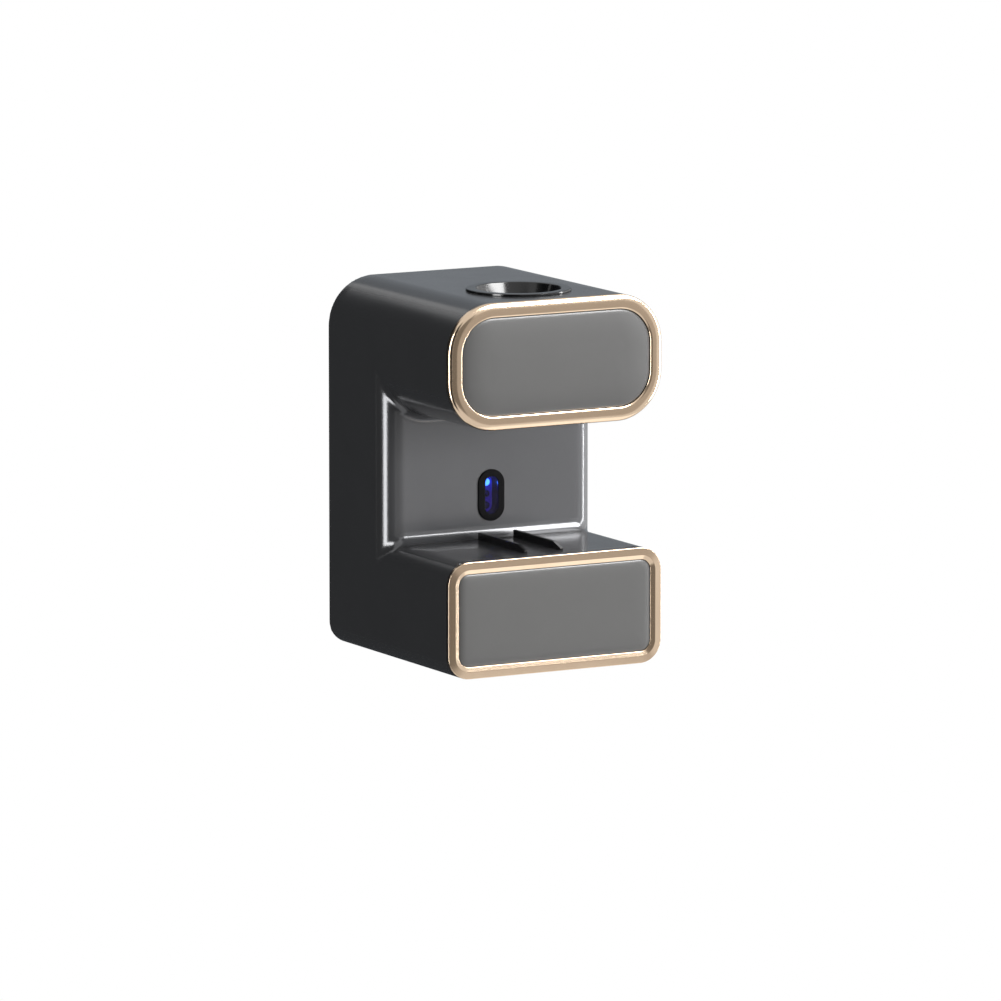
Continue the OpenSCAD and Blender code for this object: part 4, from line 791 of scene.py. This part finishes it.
collar = turned_piece("tube_collar_ring", [
    (14.6, 70.0), (18.8, 70.0), (18.8, 74.25), (20.85, 74.25), (21.0, 74.4), (21.0, 74.85),
    (20.9, 75.1), (20.65, 75.23), (20.3, 75.25), (17.5, 75.25), (17.15, 75.2), (16.9, 75.0)])
settle(collar, gloss_black, "housing", "black_plastic", "tube_collar")
seat = turned_piece("tube_seal_seat", [
    (4.8, 52.0), (9.4, 52.0), (9.4, 68.2), (17.0, 68.2), (17.0, 70.0), (11.4, 70.0), (10.9, 69.9),
    (10.5, 69.6), (6.8, 66.4), (6.5, 65.8), (6.5, 54.0), (4.8, 54.0)])
frosted_silicone = finish(
    "frosted_silicone", (0.80, 0.81, 0.82), (0.74, 0.75, 0.77), (0.90, 0.91, 0.92), (0.42, 0.55),
    grain=0.3, patch=8, bump=0.12, Subsurface_Weight=0.25)
settle(seat, frosted_silicone, "housing", "silicone", "tube_seal")
sleeve = turned_piece("pump_sleeve_tube", [
    (4.8, 32.0), (8.9, 32.0), (9.2, 32.3), (9.2, 33.7), (8.9, 34.0), (7.6, 34.0), (7.0, 34.6), (7.0, 49.4),
    (7.6, 50.0), (8.9, 50.0), (9.2, 50.3), (9.2, 51.7), (8.9, 52.0), (4.8, 52.0)])
settle(sleeve, frosted_silicone, "housing", "silicone", "pump_sleeve")
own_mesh(sleeve)


# The duckbill's flange hangs in the lower cup. Its walls close to a slit at the tip, so each
# station has a half width, how flat it is there, and a height.
duckbill_stations = (
    (9.2, 1.0, 32.0), (9.2, 1.0, 30.0), (6.2, 1.0, 30.0), (6.0, 1.0, 29.8), (6.0, 1.0, 26.0),
    (5.4, 0.8, 24.6), (4.7, 0.55, 23.2), (4.0, 0.3, 21.9), (3.8, 0.25, 21.5), (2.5, 0.08, 21.5),
    (2.5, 0.08, 22.0), (3.4, 0.6, 24.0), (4.6, 1.0, 26.0), (4.6, 1.0, 32.0))
duckbill_loops = []
for r, flat, z in duckbill_stations:
    duckbill_loops.append([(a, pump_y + flat * b, z * mm) for a, b in circle(r * mm, 64)])
duckbill = smooth(solid_piece("outlet_duckbill", [loft_points(duckbill_loops, joined=True)]), 40)
settle(duckbill, frosted_silicone, "housing", "silicone", "outlet_valve")
nozzle = turned_piece("outlet_ring", [
    (7.2, 25.95), (9.3, 25.95), (9.3, 23.75), (10.8, 23.75), (11.0, 23.6), (11.0, 23.3), (10.7, 23.0),
    (10.4, 22.95), (7.6, 22.95), (7.3, 23.05), (7.2, 23.3)])
settle(nozzle, gloss_black, "housing", "black_plastic", "nozzle_ring")


# Two ribs on the block.
# Gloss black plastic rails under the outlet, each with a sloping nose and softened edges, and
# with pegs pushed into the block.
rib_foot = block_z / mm
rib_middle_d = 74.25
rib_side = [(55.1, rib_foot), (55.1, -24.95), (55.3, -24.75), (86.9, -24.75), (87.4, -24.85),
            (93.2, -26.75), (93.4, -26.95), (93.4, rib_foot)]
rib_edges = ((-0.75, 0.22), (-0.69, 0.07), (-0.53, 0.0), (0.53, 0.0), (0.69, 0.07), (0.75, 0.22))


def rib_points(x):
    loops = []
    for offset, inset in rib_edges:
        loop = []
        for d, z in rib_side:
            shift = math.copysign(inset, rib_middle_d - d)
            drop = inset if z > rib_foot else 0
            loop.append((x + offset * mm, -(d + shift) * mm, (z - drop) * mm))
        loops.append(loop)
    return loft_points(loops)


brush_ribs = smooth(solid_piece("brush_ribs", [rib_points(-8 * mm), rib_points(8 * mm)]), 25)
settle(brush_ribs, gloss_black, "housing", "black_plastic", "brush_guides")


# Comb in the chamber and switch of the button.
# Both are moulded in the ribs' black plastic. The comb lies on the chamber's floor with three
# slots over those of the shell, and the switch is soldered to the main board.
dress(gloss_black, "brush_rack", "button_switch")


# Pump drive inside the arm.
# A moulded carrier, screwed to four bosses in the arm, holds a small gear motor with a brass
# pinion, and a wheel and a rack of natural acetal that push on the sleeve.
dress(moulded_grey, "pump_frame")
motor_can = finish(
    "motor_can", (0.62, 0.63, 0.65), (0.54, 0.55, 0.57), (0.82, 0.83, 0.84), (0.30, 0.45),
    grain=0.1, patch=6, bump=0.3, Metallic=1.0)
dress(motor_can, "gear_motor")
cut_brass = finish(
    "cut_brass", (0.82, 0.68, 0.40), (0.75, 0.60, 0.33), (0.93, 0.82, 0.56), (0.22, 0.35),
    grain=0.1, patch=3, bump=0.3, Metallic=1.0)
dress(cut_brass, "drive_pinion")
acetal_white = finish(
    "acetal_white", (0.88, 0.88, 0.85), (0.84, 0.84, 0.80), (0.94, 0.94, 0.92), (0.30, 0.42),
    grain=0.2, patch=7, bump=0.1, Subsurface_Weight=0.1)
dress(acetal_white, "reduction_gear", "pusher")


# Battery, boards and wires inside the housing.
# A cell in a plain blue shrink sleeve lies in a moulded cradle. Glass fibre boards with a green
# mask are screwed to the housing, and insulated wires and white ribbons join them.
dress(moulded_grey, "battery_cradle")
shrink_sleeve = finish(
    "shrink_sleeve", (0.20, 0.42, 0.66), (0.17, 0.37, 0.60), (0.45, 0.62, 0.80), (0.22, 0.36),
    grain=0.6, patch=10, bump=0.2)
dress(shrink_sleeve, "battery_cell")
wire_cover = finish(
    "wire_cover", (0.16, 0.16, 0.17), (0.12, 0.12, 0.13), (0.3, 0.3, 0.31), (0.40, 0.55),
    grain=0.2, patch=5, bump=0.2)
dress(wire_cover, "battery_leads", "motor_leads")
dress(acetal_white, "sensor_ribbon", "uv_ribbon")
green_board = finish(
    "green_board", (0.08, 0.33, 0.20), (0.10, 0.40, 0.25), (0.35, 0.55, 0.40), (0.25, 0.40),
    grain=0.8, patch=3, bump=0.3)
dress(green_board, "main_board", "uv_board", "sensor_board")


# Violet lamp of the chamber.
# Small violet lamps in clear resin stand on their board in the chamber's rear wall, behind a
# clear moulded window that is snapped into the wall.
violet_lamp = finish(
    "violet_lamp", (0.72, 0.62, 0.95), (0.66, 0.56, 0.92), (0.85, 0.8, 1.0), (0.15, 0.25),
    grain=0.2, patch=2, bump=0.05)
dress(violet_lamp, "uv_leds")
clear_pane = finish(
    "clear_pane", (0.88, 0.90, 0.95), (0.86, 0.88, 0.94), (0.95, 0.96, 1.0), (0.02, 0.06),
    grain=0.5, patch=12, bump=0.01, Transmission_Weight=1.0, IOR=1.45)
dress(clear_pane, "uv_window")


# Floor under the object.
# A wide pale disc, far below because the real object hangs on a wall. It keeps the object's
# shadow and runs out to the white of the world, for the camera as for gloss and glass.
floor_z = -0.45
bpy.ops.mesh.primitive_circle_add(vertices=96, radius=14.0, fill_type="NGON", location=(0, 0, floor_z))
floor = bpy.context.object
floor.name = "floor"
pale_floor = bpy.data.materials.new("pale_floor")
pale_floor.use_nodes = True
floor_tree = pale_floor.node_tree
floor_shader = floor_tree.nodes["Principled BSDF"]
floor_shader.inputs["Base Color"].default_value = (0.80, 0.80, 0.80, 1)
floor_shader.inputs["Roughness"].default_value = 0.8


# Is 1 for a ray that shows the background: from the camera, off gloss or through glass
def showing_rays(tree):
    path = tree.nodes.new("ShaderNodeLightPath")
    seen = maths(tree, "MAXIMUM", path.outputs["Is Camera Ray"], path.outputs["Is Glossy Ray"])
    return maths(tree, "MAXIMUM", seen, path.outputs["Is Transmission Ray"])


def mixed_shaders(tree, share, first, second, output):
    mix = tree.nodes.new("ShaderNodeMixShader")
    tree.links.new(share, mix.inputs[0])
    tree.links.new(first.outputs[0], mix.inputs[1])
    tree.links.new(second.outputs[0], mix.inputs[2])
    tree.links.new(mix.outputs[0], tree.nodes[output].inputs["Surface"])


floor_place = floor_tree.nodes.new("ShaderNodeTexCoord")
floor_reach = floor_tree.nodes.new("ShaderNodeVectorMath")
floor_reach.operation = "LENGTH"
floor_tree.links.new(floor_place.outputs["Object"], floor_reach.inputs[0])
floor_fade = floor_tree.nodes.new("ShaderNodeMapRange")
floor_fade.interpolation_type = "SMOOTHSTEP"
floor_fade.inputs["From Min"].default_value = 0.25
floor_fade.inputs["From Max"].default_value = 0.8
floor_tree.links.new(floor_reach.outputs["Value"], floor_fade.inputs["Value"])
whiter = maths(floor_tree, "MULTIPLY", showing_rays(floor_tree), floor_fade.outputs["Result"])
floor_white = floor_tree.nodes.new("ShaderNodeEmission")
mixed_shaders(floor_tree, whiter, floor_shader, floor_white, "Material Output")
floor.data.materials.append(pale_floor)
floor.visible_diffuse = False
floor.visible_glossy = False


# White world.
# An even, dim light from all sides, which is plain white where the background shows.
world = bpy.data.worlds.new("studio")
bpy.context.scene.world = world
world.use_nodes = True
world_tree = world.node_tree
plain = world_tree.nodes["Background"]
plain.inputs["Color"].default_value = (1, 1, 1, 1)
plain.inputs["Strength"].default_value = 0.38
white = world_tree.nodes.new("ShaderNodeBackground")
white.inputs["Color"].default_value = (1, 1, 1, 1)
white.inputs["Strength"].default_value = 1.0
mixed_shaders(world_tree, showing_rays(world_tree), plain, white, "World Output")


# Camera.
# A long lens from the front left and a little above, at the bearing and height of the photograph.
target = Vector((0, -55.9 * mm, -12.9 * mm))
distance = 3.5612
yaw = math.radians(28.823)
pitch = math.radians(8.830)
back = Vector((-math.sin(yaw) * math.cos(pitch), -math.cos(yaw) * math.cos(pitch), math.sin(pitch)))
eye = bpy.data.cameras.new("camera")
camera = bpy.data.objects.new("camera", eye)
bpy.context.scene.collection.objects.link(camera)
camera.location = target + distance * back
camera.rotation_euler = back.to_track_quat("Z", "Y").to_euler()
eye.sensor_width = 36
eye.lens = 321.2
eye.shift_x = 0.0024
eye.shift_y = 0.0014
bpy.context.scene.camera = camera


# Lamps.
# Two soft panels at the right, in front and above. Gloss and glass don't show them.
# A bearing of 0 looks along X and 90 along Y, away from the object
def away(bearing, rise, reach):
    flat = math.cos(math.radians(rise)) * reach
    return target + Vector((flat * math.cos(math.radians(bearing)), flat * math.sin(math.radians(bearing)),
                            math.sin(math.radians(rise)) * reach))


def lamp(name, bearing, rise, reach, size, power):
    light = bpy.data.lights.new(name, "AREA")
    light.shape = "RECTANGLE"
    light.size = size
    light.size_y = size
    light.energy = power
    holder = bpy.data.objects.new(name, light)
    bpy.context.scene.collection.objects.link(holder)
    holder.location = away(bearing, rise, reach)
    holder.rotation_euler = (holder.location - target).to_track_quat("Z", "Y").to_euler()
    holder.visible_glossy = False
    holder.visible_transmission = False


lamp("front_right_lamp", 310, 4, 2.6, 1.3, 135)
lamp("top_right_lamp", 318, 52, 2.2, 0.9, 14)


# Reflector cards.
# Dark, grey, warm and bright cards round the object that only gloss sees. They draw the bright
# lines along the rounded edges and give the flat faces their tone.
def gloss_card(name, bearing, rise, reach, width, height, tone, strength):
    place = away(bearing, rise, reach)
    turn = (target - place).to_track_quat("Z", "Y").to_matrix().to_4x4()
    corners = []
    for a, b in ((-1, -1), (1, -1), (1, 1), (-1, 1)):
        corners.append(Matrix.Translation(place) @ turn @ Vector((a * width / 2, b * height / 2, 0)))
    card = mesh_piece(name, corners, [[0, 1, 2, 3]])
    glow = bpy.data.materials.new(name + "_tone")
    glow.use_nodes = True
    tree = glow.node_tree
    tree.nodes.remove(tree.nodes["Principled BSDF"])
    shine = tree.nodes.new("ShaderNodeEmission")
    shine.inputs["Color"].default_value = tone + (1,)
    shine.inputs["Strength"].default_value = strength
    tree.links.new(shine.outputs[0], tree.nodes["Material Output"].inputs["Surface"])
    card.data.materials.append(glow)
    card.visible_camera = False
    card.visible_diffuse = False
    card.visible_shadow = False
    card.visible_transmission = False


neutral = (1.0, 1.0, 1.0)
gloss_card("dark_card_rear_left", 110, -14, 1.6, 1.7, 3.2, (0.8, 0.9, 1.0), 0.03)
gloss_card("grey_card_rear", 60, -4, 1.5, 1.3, 2.8, (0.85, 0.92, 1.0), 0.35)
gloss_card("dark_card_left", 161, 0, 1.5, 1.2, 2.8, (0.9, 0.95, 1.0), 0.04)
gloss_card("bright_card_left", 194, 0, 1.45, 0.46, 1.8, neutral, 12)
gloss_card("dark_card_front_left", 227, 0, 1.5, 0.98, 2.8, (1.0, 0.97, 0.95), 0.05)
gloss_card("brown_card_front", 264, 0, 1.5, 0.94, 1.5, (1.0, 0.95, 0.9), 0.26)
gloss_card("tan_card_front", 298, -4, 1.5, 0.9, 1.3, (1.0, 0.97, 0.94), 0.6)
gloss_card("soft_card_top", 345, 50, 1.6, 1.0, 0.8, neutral, 1.7)
gloss_card("bright_card_top", 322, 46, 1.5, 1.3, 0.7, neutral, 22)
gloss_card("cream_card_low", 325, -52, 1.5, 0.9, 0.7, neutral, 1.7)
gloss_card("dark_card_rear_low", 80, -36, 1.35, 1.8, 0.9, (0.8, 0.9, 1.0), 0.04)
gloss_card("soft_card_right", 2, 4, 1.6, 0.7, 1.8, neutral, 1.7)
gloss_card("bright_strip_right", 348, 0, 1.45, 0.12, 1.4, neutral, 25)

bpy.context.scene.view_settings.view_transform = "Standard"
